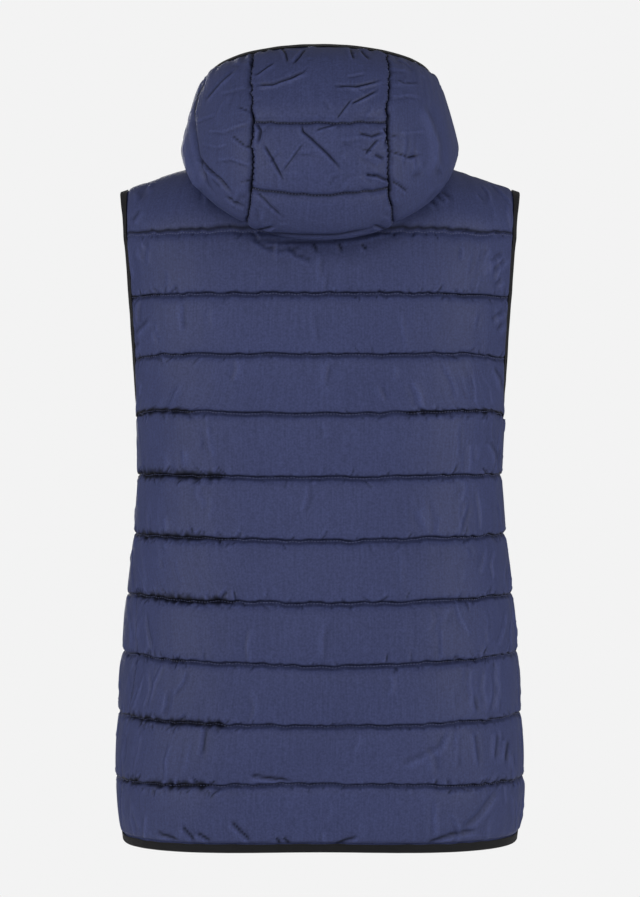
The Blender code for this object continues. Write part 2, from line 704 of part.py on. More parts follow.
def line_at(line, out, length):
    """(point, outward direction, index of the next point) at a length along the middle line."""
    steps = np.linalg.norm(np.diff(line, axis=0), axis=-1)
    run = np.concatenate([[0], np.cumsum(steps)])
    point = np.array([np.interp(length, run, line[:, axis]) for axis in range(3)])
    direction = unit(np.array([np.interp(length, run, out[:, axis]) for axis in range(3)]))
    return point, direction, int(np.searchsorted(run, length)), run[-1]


def box_part(shape, low, high):
    """One box between two corners, added to a shape."""
    middle = [(a + b) / 2 for a, b in zip(low, high)]
    size = [b - a for a, b in zip(low, high)]
    matrix = Matrix.Translation(middle) @ Matrix.Diagonal((*size, 1))
    bmesh.ops.create_cube(shape, size=1, matrix=matrix)


def extruded_outline(name, outline, half_width):
    """A closed outline in the YZ plane, extruded both ways along X."""
    shape = bmesh.new()
    face = shape.faces.new([shape.verts.new((-half_width, y, z)) for y, z in outline])
    made = bmesh.ops.extrude_face_region(shape, geom=[face])
    moved = [item for item in made["geom"] if isinstance(item, bmesh.types.BMVert)]
    bmesh.ops.translate(shape, verts=moved, vec=(2 * half_width, 0, 0))
    bmesh.ops.recalc_face_normals(shape, faces=shape.faces)
    mesh = bpy.data.meshes.new(name)
    shape.to_mesh(mesh)
    shape.free()
    return mesh


def slider_heights():
    """How far the slider's plates, bridge and tab lie from the zip's middle line, measured outwards."""
    front_low = CHAIN_FRONT + SLIDER_CLEAR
    front_high = front_low + SLIDER_PLATE
    back_high = TAPE_BACK - SLIDER_CLEAR
    return {
        "front_low": front_low,
        "front_high": front_high,
        "back_high": back_high,
        "back_low": back_high - SLIDER_PLATE,
        "window_top": front_high + BRIDGE_WINDOW,
        "pin": front_high + BRIDGE_WINDOW / 2,
    }


def slider_mesh(name):
    """The slider: two plates round the chain, joined by a post. -Y is outwards."""
    at = slider_heights()
    end = SLIDER_HALF_LENGTH
    post = end - SLIDER_POST_LENGTH
    plates = (
        (-at["front_high"], -end),
        (-at["front_high"], end),
        (-at["back_low"], end),
        (-at["back_low"], -end),
        (-at["back_high"], -end),
        (-at["back_high"], post),
        (-at["front_low"], post),
        (-at["front_low"], -end),
    )
    return extruded_outline(name, plates, SLIDER_HALF_WIDTH)


def bridge_mesh(name):
    """The arch over the slider that holds the pull tab, sunk a little into the plate that it is joined to."""
    at = slider_heights()
    sunk = SLIDER_PLATE / 2
    long, bar = BRIDGE_HALF_LENGTH, BRIDGE_BAR
    outline = (
        (-at["front_high"] + sunk, -long),
        (-at["window_top"] - bar, -long),
        (-at["window_top"] - bar, long),
        (-at["front_high"] + sunk, long),
        (-at["front_high"] + sunk, long - bar),
        (-at["window_top"], long - bar),
        (-at["window_top"], -long + bar),
        (-at["front_high"] + sunk, -long + bar),
    )
    return extruded_outline(name, outline, BRIDGE_HALF_WIDTH)


def slider_side_cut(name, side):
    """The space beside the slider's post, where the tapes run out."""
    at = slider_heights()
    mesh = bpy.data.meshes.new(name)
    shape = bmesh.new()
    inner, outer = SLIDER_POST_HALF_WIDTH, 2 * SLIDER_HALF_WIDTH
    low_x, high_x = (inner, outer) if side > 0 else (-outer, -inner)
    top = 2 * SLIDER_HALF_LENGTH
    box_part(shape, (low_x, -at["front_low"], -top), (high_x, -at["back_high"], top))
    shape.to_mesh(mesh)
    shape.free()
    return mesh


def tab_mesh(name):
    """The pull tab, hanging from its pin at the origin: a plate with a window for the bridge."""
    half, window = TAB_HALF_WIDTH, TAB_WINDOW_HALF_WIDTH
    thick = TAB_THICKNESS / 2
    shape = bmesh.new()
    taper = TAB_HALF_WIDTH * TAB_TAPER
    shoulder = -TAB_WINDOW_LENGTH - TAB_PIN_RADIUS - 2 * thick
    outline = (
        (-half, TAB_PIN_RADIUS),
        (half, TAB_PIN_RADIUS),
        (half, shoulder),
        (taper, shoulder - half),
        (taper, -TAB_LENGTH + thick),
        (taper - 2 * thick, -TAB_LENGTH),
        (-taper + 2 * thick, -TAB_LENGTH),
        (-taper, -TAB_LENGTH + thick),
        (-taper, shoulder - half),
        (-half, shoulder),
    )
    low = -TAB_PIN_RADIUS - TAB_WINDOW_LENGTH
    hole = ((-window, -TAB_PIN_RADIUS), (window, -TAB_PIN_RADIUS), (window, low), (-window, low))
    loops = []
    for y in (-thick, thick):
        ring = [shape.verts.new((x, y, z)) for x, z in outline]
        inner = [shape.verts.new((x, y, z)) for x, z in hole]
        edges = [shape.edges.new((ring[i - 1], ring[i])) for i in range(len(ring))]
        edges += [shape.edges.new((inner[i - 1], inner[i])) for i in range(len(inner))]
        bmesh.ops.triangle_fill(shape, edges=edges, use_beauty=True)
        loops.append((ring, inner))
    for k in (0, 1):
        front, back = loops[0][k], loops[1][k]
        for i in range(len(front)):
            shape.faces.new((front[i - 1], front[i], back[i], back[i - 1]))
    bmesh.ops.recalc_face_normals(shape, faces=shape.faces)
    mesh = bpy.data.meshes.new(name)
    shape.to_mesh(mesh)
    shape.free()
    return mesh


def material(name, colour, roughness, metallic=0.0):
    made = bpy.data.materials.new(name)
    made.use_nodes = True
    shader = made.node_tree.nodes["Principled BSDF"]
    shader.inputs["Base Color"].default_value = (*colour, 1)
    shader.inputs["Roughness"].default_value = roughness
    shader.inputs["Metallic"].default_value = metallic
    return made


def place(mesh, finish, parent, smooth=True):
    """An object for a mesh, with its material, under the part's empty."""
    thing = bpy.data.objects.new(mesh.name, mesh)
    bpy.context.scene.collection.objects.link(thing)
    mesh.materials.append(finish)
    if smooth:
        mesh.shade_smooth()
        mesh.set_sharp_from_angle(angle=math.radians(40))
    thing.parent = parent
    return thing


def boolean(thing, other, operation):
    """A Boolean against a hidden helper object."""
    other.hide_render = True
    other.display_type = "WIRE"
    modifier = thing.modifiers.new(other.name, "BOOLEAN")
    modifier.object = other
    modifier.operation = operation


def joined_halves(left, right):
    """The whole back from its two halves, left edge first."""
    whole = {"seam_rows": left["seam_rows"]}
    for key in ("points", "normals", "thickness"):
        whole[key] = np.concatenate([left[key], right[key][:, -2::-1]], axis=1)
    return whole


def build_body(cloth, trim, parent):
    """Back, fronts, and the bindings of the armholes and the hem. Returns the left front for the zip."""
    backs = {side: half_panel(side, "back") for side in (1, -1)}
    fronts = {side: half_panel(side, "front") for side in (1, -1)}
    back = joined_halves(backs[1], backs[-1])
    names = {1: "left", -1: "right"}
    half = back["points"].shape[1] // 2
    place(wall_mesh("back_panel", back["points"], back["normals"], back["thickness"], half), cloth, parent)
    for side, name in names.items():
        front = fronts[side]
        wall = wall_mesh(f"front_panel_{name}", front["points"], front["normals"], front["thickness"])
        place(wall, cloth, parent)
        place(armhole_binding(f"armhole_binding_{name}", backs[side], fronts[side]), trim, parent)
    place(hem_binding("hem_binding", (fronts[1], back, fronts[-1])), trim, parent)
    return fronts[1]


def build_hood(cloth, trim, parent):
    """The hood's centre strip, its two sides and the binding of its face edge. Returns its grid."""
    points, normals, steps = hood_grid()
    first = len(hood_side_shares())
    last = first + STRIP_SPANS
    runs = (
        ("hood_side_left", 0, first, 1),
        ("hood_centre_panel", first, last, 0),
        ("hood_side_right", last, points.shape[1] - 1, -1),
    )
    for name, start, end, side in runs:
        part = points[:, start : end + 1].copy()
        if start > 0:
            part[:, 0] += unit(part[:, 1] - part[:, 0]) * SEAM_GAP / 2
        if end < points.shape[1] - 1:
            part[:, -1] += unit(part[:, -2] - part[:, -1]) * SEAM_GAP / 2
        thickness = hood_rise(points, steps, start, end, side)
        turned = max(0, min(end, points.shape[1] // 2) - start)
        place(wall_mesh(name, part, normals[:, start : end + 1], thickness, turned), cloth, parent)
    place(hood_binding("hood_binding", points, normals), trim, parent)
    return points, normals


def build_zip(front, points, normals, trim, metal, parent):
    """Tapes, chain, bottom box, slider and pull tab in the gap between the fronts."""
    edge, band, out, band_out = zip_line(front, points, normals)
    for side, name in ((1, "left"), (-1, "right")):
        sections = zip_tape_sections(edge, band, out, band_out, side)
        place(swept_mesh(f"zip_tape_{name}", sections), trim, parent, smooth=False)
    line, middle_out = middle_line(edge, out)
    total = line_at(line, middle_out, 0)[3]
    slider_point, slider_out, next_row, _ = line_at(line, middle_out, total - SLIDER_BELOW_EDGE)
    top = SLIDER_HALF_LENGTH - SLIDER_POST_LENGTH - SLIDER_CLEAR
    chain_top, chain_out, chain_row, _ = line_at(line, middle_out, total - SLIDER_BELOW_EDGE + top)
    box_top = EDGE_BAND + BOX_LENGTH
    chain_low, low_out, low_row, _ = line_at(line, middle_out, box_top + SEAM_GAP)
    chain_line = np.concatenate([[chain_low], line[low_row:chain_row], [chain_top]])
    chain_outs = np.concatenate([[low_out], middle_out[low_row:chain_row], [chain_out]])
    place(swept_mesh("zip_chain", chain_sections(chain_line, chain_outs)), metal, parent, smooth=False)
    box_points = [line_at(line, middle_out, length)[:2] for length in (EDGE_BAND, box_top)]
    wide = np.array([BOX_HALF_WIDTH, 0, 0])
    low, high = TAPE_BACK, CHAIN_FRONT + SLIDER_CLEAR
    sections = []
    for point, direction in box_points:
        behind, before = point + direction * low, point + direction * high
        sections.append([behind - wide, behind + wide, before + wide, before - wide])
    sections = np.array(sections)
    sections[:, :2] += np.array([o * (SEAM_GAP - TAPE_BACK) for _, o in box_points])[:, None]
    place(swept_mesh("zip_bottom_box", sections), metal, parent, smooth=False)
    lean = math.atan2(-slider_out[2], -slider_out[1])
    holder = bpy.data.objects.new("zip_slider_place", None)
    bpy.context.scene.collection.objects.link(holder)
    holder.parent = parent
    holder.location = slider_point
    holder.rotation_euler = (lean, 0, 0)
    slider = place(slider_mesh("zip_slider"), metal, holder, smooth=False)
    boolean(slider, place(bridge_mesh("slider_bridge_shape"), metal, holder, smooth=False), "UNION")
    for side, name in ((1, "left"), (-1, "right")):
        cutter = place(slider_side_cut(f"slider_cut_{name}", side), metal, holder, smooth=False)
        boolean(slider, cutter, "DIFFERENCE")
    tab = place(tab_mesh("zip_pull_tab"), metal, holder, smooth=False)
    tab.location = (0, -slider_heights()["pin"], -TAB_PIN_BELOW)
    tab.rotation_euler = (-lean, 0, 0)


def main():
    for thing in list(bpy.data.objects):
        bpy.data.objects.remove(thing)
    cloth = material("navy_shell", NAVY, 0.45)
    trim = material("black_elastic", BLACK, 0.70)
    metal = material("dark_zip", GUNMETAL, 0.40, 0.6)
    vest = bpy.data.objects.new("quilted_vest", None)
    bpy.context.scene.collection.objects.link(vest)
    front = build_body(cloth, trim, vest)
    points, normals = build_hood(cloth, trim, vest)
    build_zip(front, points, normals, trim, metal, vest)


main()
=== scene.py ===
"""Looks of the hooded quilted vest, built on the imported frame.

Frame: metres, +Z up, the front faces -Y, the back faces +Y, +X is the wearer's left.
The padded cloth is a fine grid on the solids' own form, settled by the small cloth solver below.
"""

import math

import bmesh
import bpy
import numpy as np
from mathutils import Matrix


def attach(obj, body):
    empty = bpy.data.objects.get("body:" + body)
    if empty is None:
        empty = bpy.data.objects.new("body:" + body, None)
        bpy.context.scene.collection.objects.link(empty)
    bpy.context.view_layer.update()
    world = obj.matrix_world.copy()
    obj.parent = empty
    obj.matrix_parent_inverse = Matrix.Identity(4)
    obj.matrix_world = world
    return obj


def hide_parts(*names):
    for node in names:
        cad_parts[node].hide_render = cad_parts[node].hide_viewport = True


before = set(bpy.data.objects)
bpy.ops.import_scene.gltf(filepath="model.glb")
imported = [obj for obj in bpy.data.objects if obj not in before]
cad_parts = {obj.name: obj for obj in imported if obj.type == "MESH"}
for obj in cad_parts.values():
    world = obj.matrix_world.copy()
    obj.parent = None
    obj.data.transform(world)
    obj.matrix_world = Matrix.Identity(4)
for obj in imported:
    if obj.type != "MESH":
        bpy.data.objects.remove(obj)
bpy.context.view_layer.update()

# Cloth sizes
SEAM_THICKNESS = 0.003
BODY_PUFF = 0.0058
SIDE_PUFF_SHARE = 0.45
YOKE_PUFF = 0.0046
HOOD_PUFF = 0.0046
SEAM_GAP = 0.0003
CHANNEL_ROUNDNESS = 2.8
EDGE_BAND = 0.008
NECK_RAMP = 0.060

# Torso: one row for each measured height, of the plain inside surface.
# Seam angles turn from the side to the back.
SECTION_ROUNDNESS = 2.35
SECTION_COLUMNS = ("height", "half_width", "back_depth", "front_depth", "seam_left", "seam_right")
SECTIONS = (
    (-0.670, 0.1905, 0.131, 0.132, 12.0, 8.0),
    (-0.600, 0.1970, 0.139, 0.136, 14.0, 9.0),
    (-0.530, 0.1945, 0.140, 0.134, 19.0, 11.0),
    (-0.470, 0.1910, 0.137, 0.130, 22.0, 11.0),
    (-0.412, 0.1860, 0.130, 0.125, 17.0, 8.0),
    (-0.355, 0.1795, 0.121, 0.121, 6.0, 4.0),
    (-0.295, 0.1760, 0.116, 0.122, 2.0, 2.0),
    (-0.231, 0.1785, 0.117, 0.127, 0.0, 0.0),
    (-0.178, 0.1875, 0.120, 0.128, 0.0, 0.0),
    (-0.121, 0.1945, 0.121, 0.122, 0.0, 0.0),
    (-0.060, 0.1985, 0.116, 0.108, 0.0, 0.0),
)

# Quilting: one row for each stitch line, with its height at the back's middle, the sides and the front edge.
LINE_COLUMNS = ("back", "side", "front")
QUILT_LINES = (
    (-0.6478, -0.6545, -0.6505),
    (-0.5840, -0.5920, -0.5880),
    (-0.5300, -0.5290, -0.5330),
    (-0.4740, -0.4690, -0.4760),
    (-0.4160, -0.4120, -0.4180),
    (-0.3570, -0.3530, -0.3600),
    (-0.2970, -0.2940, -0.3010),
    (-0.2360, -0.2310, -0.2420),
    (-0.1800, -0.1770, -0.1860),
    (-0.1220, -0.1210, -0.1330),
    (-0.0625, -0.0625, -0.0850),
)
UNDERARM_LINE = 7
CHANNEL_STEPS = (0.13, 0.50, 0.87, 1.0)
YOKE_STEPS = (0.13, 0.32, 0.52, 0.72, 0.88, 1.0)

# Panel columns, as shares of the way from the edge band to the middle of the back or to the zip band.
BACK_SHARES = (0.0, 0.08, 0.20, 0.33, 0.46, 0.60, 0.73, 0.87, 1.0)
FRONT_SHARES = (0.0, 0.09, 0.24, 0.40, 0.56, 0.73, 0.89, 1.0)
ROW_FADE = 0.30

# Armholes and shoulders
ARMHOLE_HALF_WIDTH = {"back": 0.050, "front": 0.052}
ARMHOLE_WIDEST = -0.120
ARMHOLE_SPREAD = 0.60
ARMHOLE_TOP_ROUNDNESS = 2.5
SHOULDER_TIP = (0.1970, 0.0, -0.0165)
SHOULDER_SPANS = 5
BACK_NECK_SPANS = 4
FRONT_NECK_SPANS = 4
YOKE_RISE = 0.55
YOKE_REACH = 0.50
YOKE_LEAST_RISE = 0.010
YOKE_LEAST_REACH = 0.004
NECK_RISE_ANGLE = 60.0
NECK_SEAM_TILT = 40.0

# Hood, let down behind the neck: one ring of the inside surface for each row, from the neck to the face edge.
# side_ is over the shoulder, back_ and front_ in the middle plane, strip is the centre panel's half width.
RING_COLUMNS = (
    "side_x", "side_y", "side_z", "back_y", "back_z",
    "front_x", "front_y", "front_z", "full", "strip",
)
HOOD_RINGS = (
    (0.0800, 0.000, 0.0205, 0.065, 0.020, 0.080, -0.086, -0.042, 1.00, 0.042),
    (0.0890, 0.004, 0.0440, 0.080, 0.050, 0.082, -0.088, -0.031, 1.00, 0.046),
    (0.1020, 0.012, 0.0560, 0.106, 0.050, 0.085, -0.090, -0.020, 0.90, 0.052),
    (0.1160, 0.024, 0.0430, 0.134, -0.012, 0.087, -0.092, -0.008, 0.80, 0.060),
    (0.1255, 0.030, 0.0280, 0.164, -0.066, 0.089, -0.094, 0.003, 0.75, 0.066),
    (0.1265, 0.030, 0.0295, 0.199, -0.0345, 0.090, -0.096, 0.014, 0.75, 0.060),
    (0.1205, 0.030, 0.0510, 0.204, 0.0285, 0.091, -0.097, 0.025, 0.75, 0.059),
    (0.1140, 0.027, 0.0770, 0.174, 0.084, 0.091, -0.098, 0.034, 0.80, 0.061),
    (0.1075, 0.022, 0.0930, 0.124, 0.111, 0.090, -0.098, 0.043, 0.90, 0.061),
)
HOOD_FRONT_FADE = 0.60
HOOD_FRONT_FALL = 1.50
HOOD_LINES = (3.3, 5.0, 6.0)
HOOD_PLAIN_RING = 4.0
HOOD_PLAIN_TURN = 60.0
HOOD_PLAIN_RAMP = 40.0
HOOD_LOWER_STEPS = (0.0, 0.5, 1.0, 1.35, 1.7, 2.0, 2.4, 2.7, 3.0)
HOOD_STEPS = HOOD_LOWER_STEPS + (3.3, 3.65, 4.0, 4.35, 4.7, 5.0, 5.15, 5.5, 5.85, 6.0)
HOOD_EDGE_SHARES = (0.10, 0.35, 0.60, 0.82, 1.0)
HOOD_COLUMNS_PER_STATION = 2
HOOD_BACK_TURNS = (11.25, 22.5, 33.75, 45.0, 50.0, 54.0)
STRIP_SPANS = 14
HOOD_EDGE_SAMPLES = 61

# Edge binding: a folded elastic band, 1 mm thick, that wraps a panel's edge
BINDING_WALL = 0.0010
BINDING_GAP = 0.0004
BINDING_COVER = 0.0072
BINDING_NOSE = 0.0019
# The flat width runs to this point of the outline, one outer straight short of the whole strip.
BINDING_FLAT_POINT = 13

# Front zip
ZIP_HALF_GAP = 0.0065
TAPE_BACK = -0.0013
TAPE_INNER = 0.0033
SLIDER_HALF_LENGTH = 0.0065
SLIDER_CLEAR = 0.0006
SLIDER_POST_LENGTH = 0.0030
SLIDER_BELOW_EDGE = 0.0190
BOX_LENGTH = 0.0090


def column(table, names, name):
    """One named column of a table."""
    place = names.index(name)
    return np.array([row[place] for row in table], float)


def smooth_table(knots, values, at):
    """Values between the rows of a table, on cubic spans whose slopes run through the neighbouring rows."""
    knots = np.asarray(knots, float)
    values = np.asarray(values, float)
    at = np.asarray(at, float)
    slopes = np.gradient(values, knots, axis=0)
    span = np.clip(np.searchsorted(knots, at) - 1, 0, len(knots) - 2)
    width = knots[span + 1] - knots[span]
    t = np.clip((at - knots[span]) / width, 0, 1)
    tail = (1,) * (values.ndim - 1)
    t = t.reshape(t.shape + tail)
    width = width.reshape(width.shape + tail)
    start, end = values[span], values[span + 1]
    leave, arrive = slopes[span] * width, slopes[span + 1] * width
    return (
        start * (2 * t**3 - 3 * t**2 + 1)
        + leave * (t**3 - 2 * t**2 + t)
        + end * (3 * t**2 - 2 * t**3)
        + arrive * (t**3 - t**2)
    )


def smooth_step(value):
    """0 below 0, 1 above 1 and a soft ramp between."""
    value = np.clip(value, 0, 1)
    return value * value * (3 - 2 * value)


def unit(vectors):
    return vectors / np.linalg.norm(vectors, axis=-1, keepdims=True)


def section_value(name, height):
    heights = column(SECTIONS, SECTION_COLUMNS, "height")
    return smooth_table(heights, column(SECTIONS, SECTION_COLUMNS, name), height)


def torso_point(angle, height):
    """The inside surface at an angle about the vertical axis: 0 is the left side, a quarter turn the back."""
    cosine, sine = np.cos(angle), np.sin(angle)
    depth = np.where(sine >= 0, section_value("back_depth", height), section_value("front_depth", height))
    half_width = section_value("half_width", height)
    power = SECTION_ROUNDNESS
    radius = (np.abs(cosine / half_width) ** power + np.abs(sine / depth) ** power) ** (-1 / power)
    return np.stack([radius * cosine, radius * sine, height + 0 * angle], axis=-1)


def torso_normal(angle, height):
    """The outward direction of the inside surface."""
    step = 1e-3
    around = torso_point(angle + step, height) - torso_point(angle - step, height)
    upward = torso_point(angle, height + step) - torso_point(angle, height - step)
    return unit(np.cross(around, upward))


def ring_point(ring, turn):
    """A point of one hood ring: turn 0 is over the left shoulder, a quarter turn is the back."""
    side_x, side_y, side_z, back_y, back_z, front_x, front_y, front_z, full, _ = HOOD_RINGS[ring]
    cosine, sine = np.cos(turn), np.sin(turn)
    back = np.clip(sine, 0, 1)
    front = np.clip(-sine, 0, 1)
    collar = front**HOOD_FRONT_FADE
    x = cosine * (side_x + (front_x - side_x) * collar)
    y = side_y + (back_y - side_y) * back**full + (front_y - side_y) * front
    fall = front if ring == 0 else front**HOOD_FRONT_FALL
    z = side_z + (back_z - side_z) * back + (front_z - side_z) * fall
    return np.stack([x, y, z], axis=-1)


def neck_normal(turn):
    """The direction that the neck seam's edge faces, the same for the panels and for the hood."""
    side_x, _, _, back_y, _, _, front_y, _, _, _ = HOOD_RINGS[0]
    depth = np.where(np.sin(turn) >= 0, back_y, -front_y)
    flat = unit(np.stack([np.cos(turn) / side_x, np.sin(turn) / depth, 0 * turn], axis=-1))
    tilt = math.radians(NECK_SEAM_TILT)
    return flat * math.cos(tilt) + np.array([0, 0, math.sin(tilt)])


def neck_turns(face):
    """The turns of a half panel's neck stations, from the shoulder seam to its inner edge."""
    if face == "back":
        return np.linspace(0, math.pi / 2, BACK_NECK_SPANS + 1)
    radius = HOOD_RINGS[0][0]
    zip_edge = -(math.pi / 2 - ZIP_HALF_GAP / radius)
    band = zip_edge + EDGE_BAND / radius
    return np.concatenate([np.linspace(0, band, FRONT_NECK_SPANS), [zip_edge]])


def neck_line(turns):
    """(points, outward directions) on the straight spans between the neck stations of the panels."""
    left = np.concatenate([neck_turns("front")[:0:-1], neck_turns("back")])
    stations = np.concatenate([left, math.pi - left[-2::-1]])
    points, normals = ring_point(0, stations), neck_normal(stations)
    on_line = []
    for item in (points, normals):
        on_line.append(np.stack([np.interp(turns, stations, item[:, axis]) for axis in range(3)], axis=-1))
    return on_line[0], unit(on_line[1])


def line_heights(angle):
    """The height of each stitch line at an angle, with the top of the hem band put in after the hem."""
    back, side, front = (column(QUILT_LINES, LINE_COLUMNS, name) for name in LINE_COLUMNS)
    sine = np.sin(np.asarray(angle, float))[..., None]
    heights = side + np.where(sine >= 0, back - side, front - side) * sine**2
    return np.concatenate([heights[..., :1], heights[..., :1] + EDGE_BAND, heights[..., 1:]], axis=-1)


def torso_rows():
    """(line below, share of the way to the next line) for each grid row from the hem to the yoke line."""
    rows = [(0, 0.0), (0, 1.0)]
    for line in range(1, len(QUILT_LINES)):
        rows += [(line, step) for step in CHANNEL_STEPS]
    return rows


def row_height(row, angle):
    line, share = row
    heights = line_heights(angle)
    return heights[..., line] * (1 - share) + heights[..., line + 1] * share


def channel_profile(share):
    """How far the padding rises across a channel, from line to line, as a share of its height."""
    across = np.abs(2 * np.asarray(share, float) - 1)
    return (1 - across**CHANNEL_ROUNDNESS) ** (1 / CHANNEL_ROUNDNESS)


def armhole_edge(height, face):
    """(distance from the side line, height) of the armhole's edge for a row at this height."""
    low = QUILT_LINES[UNDERARM_LINE][LINE_COLUMNS.index("side")]
    half = ARMHOLE_HALF_WIDTH[face]
    share = (height - low) / (ARMHOLE_WIDEST - low)
    if share <= 1:
        turn = math.pi / 2 * share**ARMHOLE_SPREAD
        return half * math.sin(turn), ARMHOLE_WIDEST - (ARMHOLE_WIDEST - low) * math.cos(turn)
    power = ARMHOLE_TOP_ROUNDNESS
    rise = (height - ARMHOLE_WIDEST) / (SHOULDER_TIP[2] - ARMHOLE_WIDEST)
    return half * (1 - rise**power) ** (1 / power), height


def edge_line(side, face):
    """(angles, heights, number of side seam rows) of a half panel's outer edge: side seam, then armhole."""
    direction = 1 if face == "back" else -1
    name = "seam_left" if side > 0 else "seam_right"
    angles, heights, seam_rows = [], [], 0
    for row in torso_rows():
        height = float(row_height(row, 0.0))
        line, share = row
        if line + share <= UNDERARM_LINE + 1:
            radius = float(section_value("half_width", height))
            gap = direction * SEAM_GAP / 2 / radius
            angles.append(math.radians(float(section_value(name, height))) + gap)
            heights.append(height)
            seam_rows += 1
            continue
        reach, height = armhole_edge(height, face)
        depth = float(section_value(face + "_depth", height))
        half_width = float(section_value("half_width", height))
        x = half_width * (1 - (reach / depth) ** SECTION_ROUNDNESS) ** (1 / SECTION_ROUNDNESS)
        angles.append(direction * math.atan2(reach, x))
        heights.append(height)
    return np.array(angles), np.array(heights), seam_rows


def torso_grid(side, face):
    """Angles and heights of a half panel's grid, from its outer edge to its inner edge."""
    direction = 1 if face == "back" else -1
    edge_angle, edge_height, seam_rows = edge_line(side, face)
    radius = section_value("half_width", edge_height)
    along = np.gradient(np.stack([direction * edge_angle * radius, edge_height], axis=-1), axis=0)
    along = unit(along)
    inward = np.stack([along[:, 1], -along[:, 0]], axis=-1)
    inward[: seam_rows - 1] = (1, 0)
    angle_1 = edge_angle + direction * EDGE_BAND * inward[:, 0] / radius
    height_1 = edge_height + EDGE_BAND * inward[:, 1]
    if face == "back":
        shares = np.array(BACK_SHARES)
        last = np.full_like(edge_angle, math.pi / 2)
        zip_column = []
    else:
        shares = np.array(FRONT_SHARES)
        depth = section_value("front_depth", edge_height)
        zip_edge = -(math.pi / 2 - ZIP_HALF_GAP / depth)
        last = zip_edge + EDGE_BAND / depth
        zip_column = [zip_edge]
    columns = [edge_angle] + [angle_1 + (last - angle_1) * share for share in shares] + zip_column
    fades = [1.0] + [max(0.0, 1 - share / ROW_FADE) ** 2 for share in shares] + [0.0] * len(zip_column)
    angles = np.stack(columns, axis=-1)
    fades = np.array(fades)
    heights = np.stack([row_height(row, angles[i]) for i, row in enumerate(torso_rows())])
    heights = heights + (height_1 - heights[:, 1])[:, None] * fades
    heights[:, 0] = edge_height
    return angles, heights, seam_rows


def yoke_top(face):
    """(points, end directions, outward directions) along a half panel's top: shoulder seam, then neck."""
    toward = -1.0 if face == "back" else 1.0
    tip = np.array(SHOULDER_TIP)
    neck = ring_point(0, np.array(0.0))
    length = np.linalg.norm(neck - tip)
    slope = unit(neck - tip)
    reach = np.concatenate([[0, EDGE_BAND], np.linspace(EDGE_BAND, length, SHOULDER_SPANS)[1:]])
    shoulder = tip + slope * reach[:, None]
    turns = neck_turns(face)[1:]
    points = np.concatenate([shoulder, ring_point(0, turns)])
    rise = math.radians(NECK_RISE_ANGLE)
    level = neck_normal(turns) * np.array([1, 1, 0])
    neck_ends = -unit(level) * math.cos(rise) + np.array([0, 0, math.sin(rise)])
    shoulder_ends = np.tile([0, toward, 0.0], (len(shoulder), 1))
    ends = np.concatenate([shoulder_ends, neck_ends])
    ends[SHOULDER_SPANS] = unit(ends[SHOULDER_SPANS] + np.array([-math.cos(rise), 0, math.sin(rise)]))
    shoulder_out = np.tile(unit(np.cross(slope, [0, -1.0, 0])), (len(shoulder), 1))
    shoulder_out[-1] = neck_normal(np.array(0.0))
    out = np.concatenate([shoulder_out, neck_normal(turns)])
    return points - ends * SEAM_GAP / 2, ends, out


def yoke_rows(start, face):
    """Rows from the yoke line over the shoulder to its seam and the neck, with the top row's directions."""
    top, ends, out = yoke_top(face)
    rise = np.maximum(top[:, 2] - start[:, 2], YOKE_LEAST_RISE)[:, None] * YOKE_RISE
    reach = np.linalg.norm((top - start)[:, :2], axis=-1)[:, None] * YOKE_REACH + YOKE_LEAST_REACH
    first = start + np.array([0, 0, 1.0]) * rise
    second = top - ends * reach
    rows = []
    for t in YOKE_STEPS:
        low = (1 - t) ** 3 * start + 3 * t * (1 - t) ** 2 * first
        rows.append(low + 3 * t**2 * (1 - t) * second + t**3 * top)
    return np.stack(rows), out


def distance_to_line(points, line):
    """The distance from each grid point to the nearest point of a line, which is cut fine."""
    fine = np.concatenate([line[:-1] + (line[1:] - line[:-1]) * share for share in (0, 0.25, 0.5, 0.75)])
    fine = np.concatenate([fine, line[-1:]])
    return np.min(np.linalg.norm(points[..., None, :] - fine, axis=-1), axis=-1)


def half_panel(side, face):
    """A half panel's inside points and outward directions, as rows from the hem up."""
    angles, heights, seam_rows = torso_grid(side, face)
    torso = torso_point(angles, heights)
    yoke, top_out = yoke_rows(torso[-1], face)
    points = np.concatenate([torso, yoke])
    turn = 1 if face == "back" else -1
    normals = turn * unit(np.cross(np.gradient(points, axis=1), np.gradient(points, axis=0)))
    normals[: len(torso)] = torso_normal(angles, heights)
    normals[-1] = top_out
    if face == "back":
        normals[:, -1, 0] = 0
        normals = unit(normals)
    mirror = np.array([side, 1, 1])
    return {"points": points * mirror, "normals": normals * mirror, "seam_rows": seam_rows}


def hood_limits(ring):
    """The turns of the zip edge, the zip band and the strip seam on one ring."""
    row = dict(zip(RING_COLUMNS, HOOD_RINGS[ring]))
    zip_turn = -(math.pi / 2 - ZIP_HALF_GAP / row["front_x"])
    return zip_turn, zip_turn + EDGE_BAND / row["front_x"], math.acos(row["strip"] / row["side_x"])


def hood_side_shares():
    """Side panel columns as shares of the way from zip band to strip seam, meeting the neck stations."""
    _, band, seam = hood_limits(0)
    front = np.linspace(band, 0, HOOD_COLUMNS_PER_STATION * (FRONT_NECK_SPANS - 1) + 1)
    turns = np.concatenate([front, np.radians(HOOD_BACK_TURNS), [seam]])
    return (turns - band) / (seam - band)


def hood_turns(ring):
    """The turn of each hood column on one ring, from the left zip edge round the back to the right one."""
    zip_turn, band_turn, seam_turn = hood_limits(ring)
    left = np.concatenate([[zip_turn], band_turn + (seam_turn - band_turn) * hood_side_shares()])
    strip = np.linspace(seam_turn, math.pi - seam_turn, STRIP_SPANS + 1)
    return np.concatenate([left, strip[1:-1], math.pi - left[::-1]])


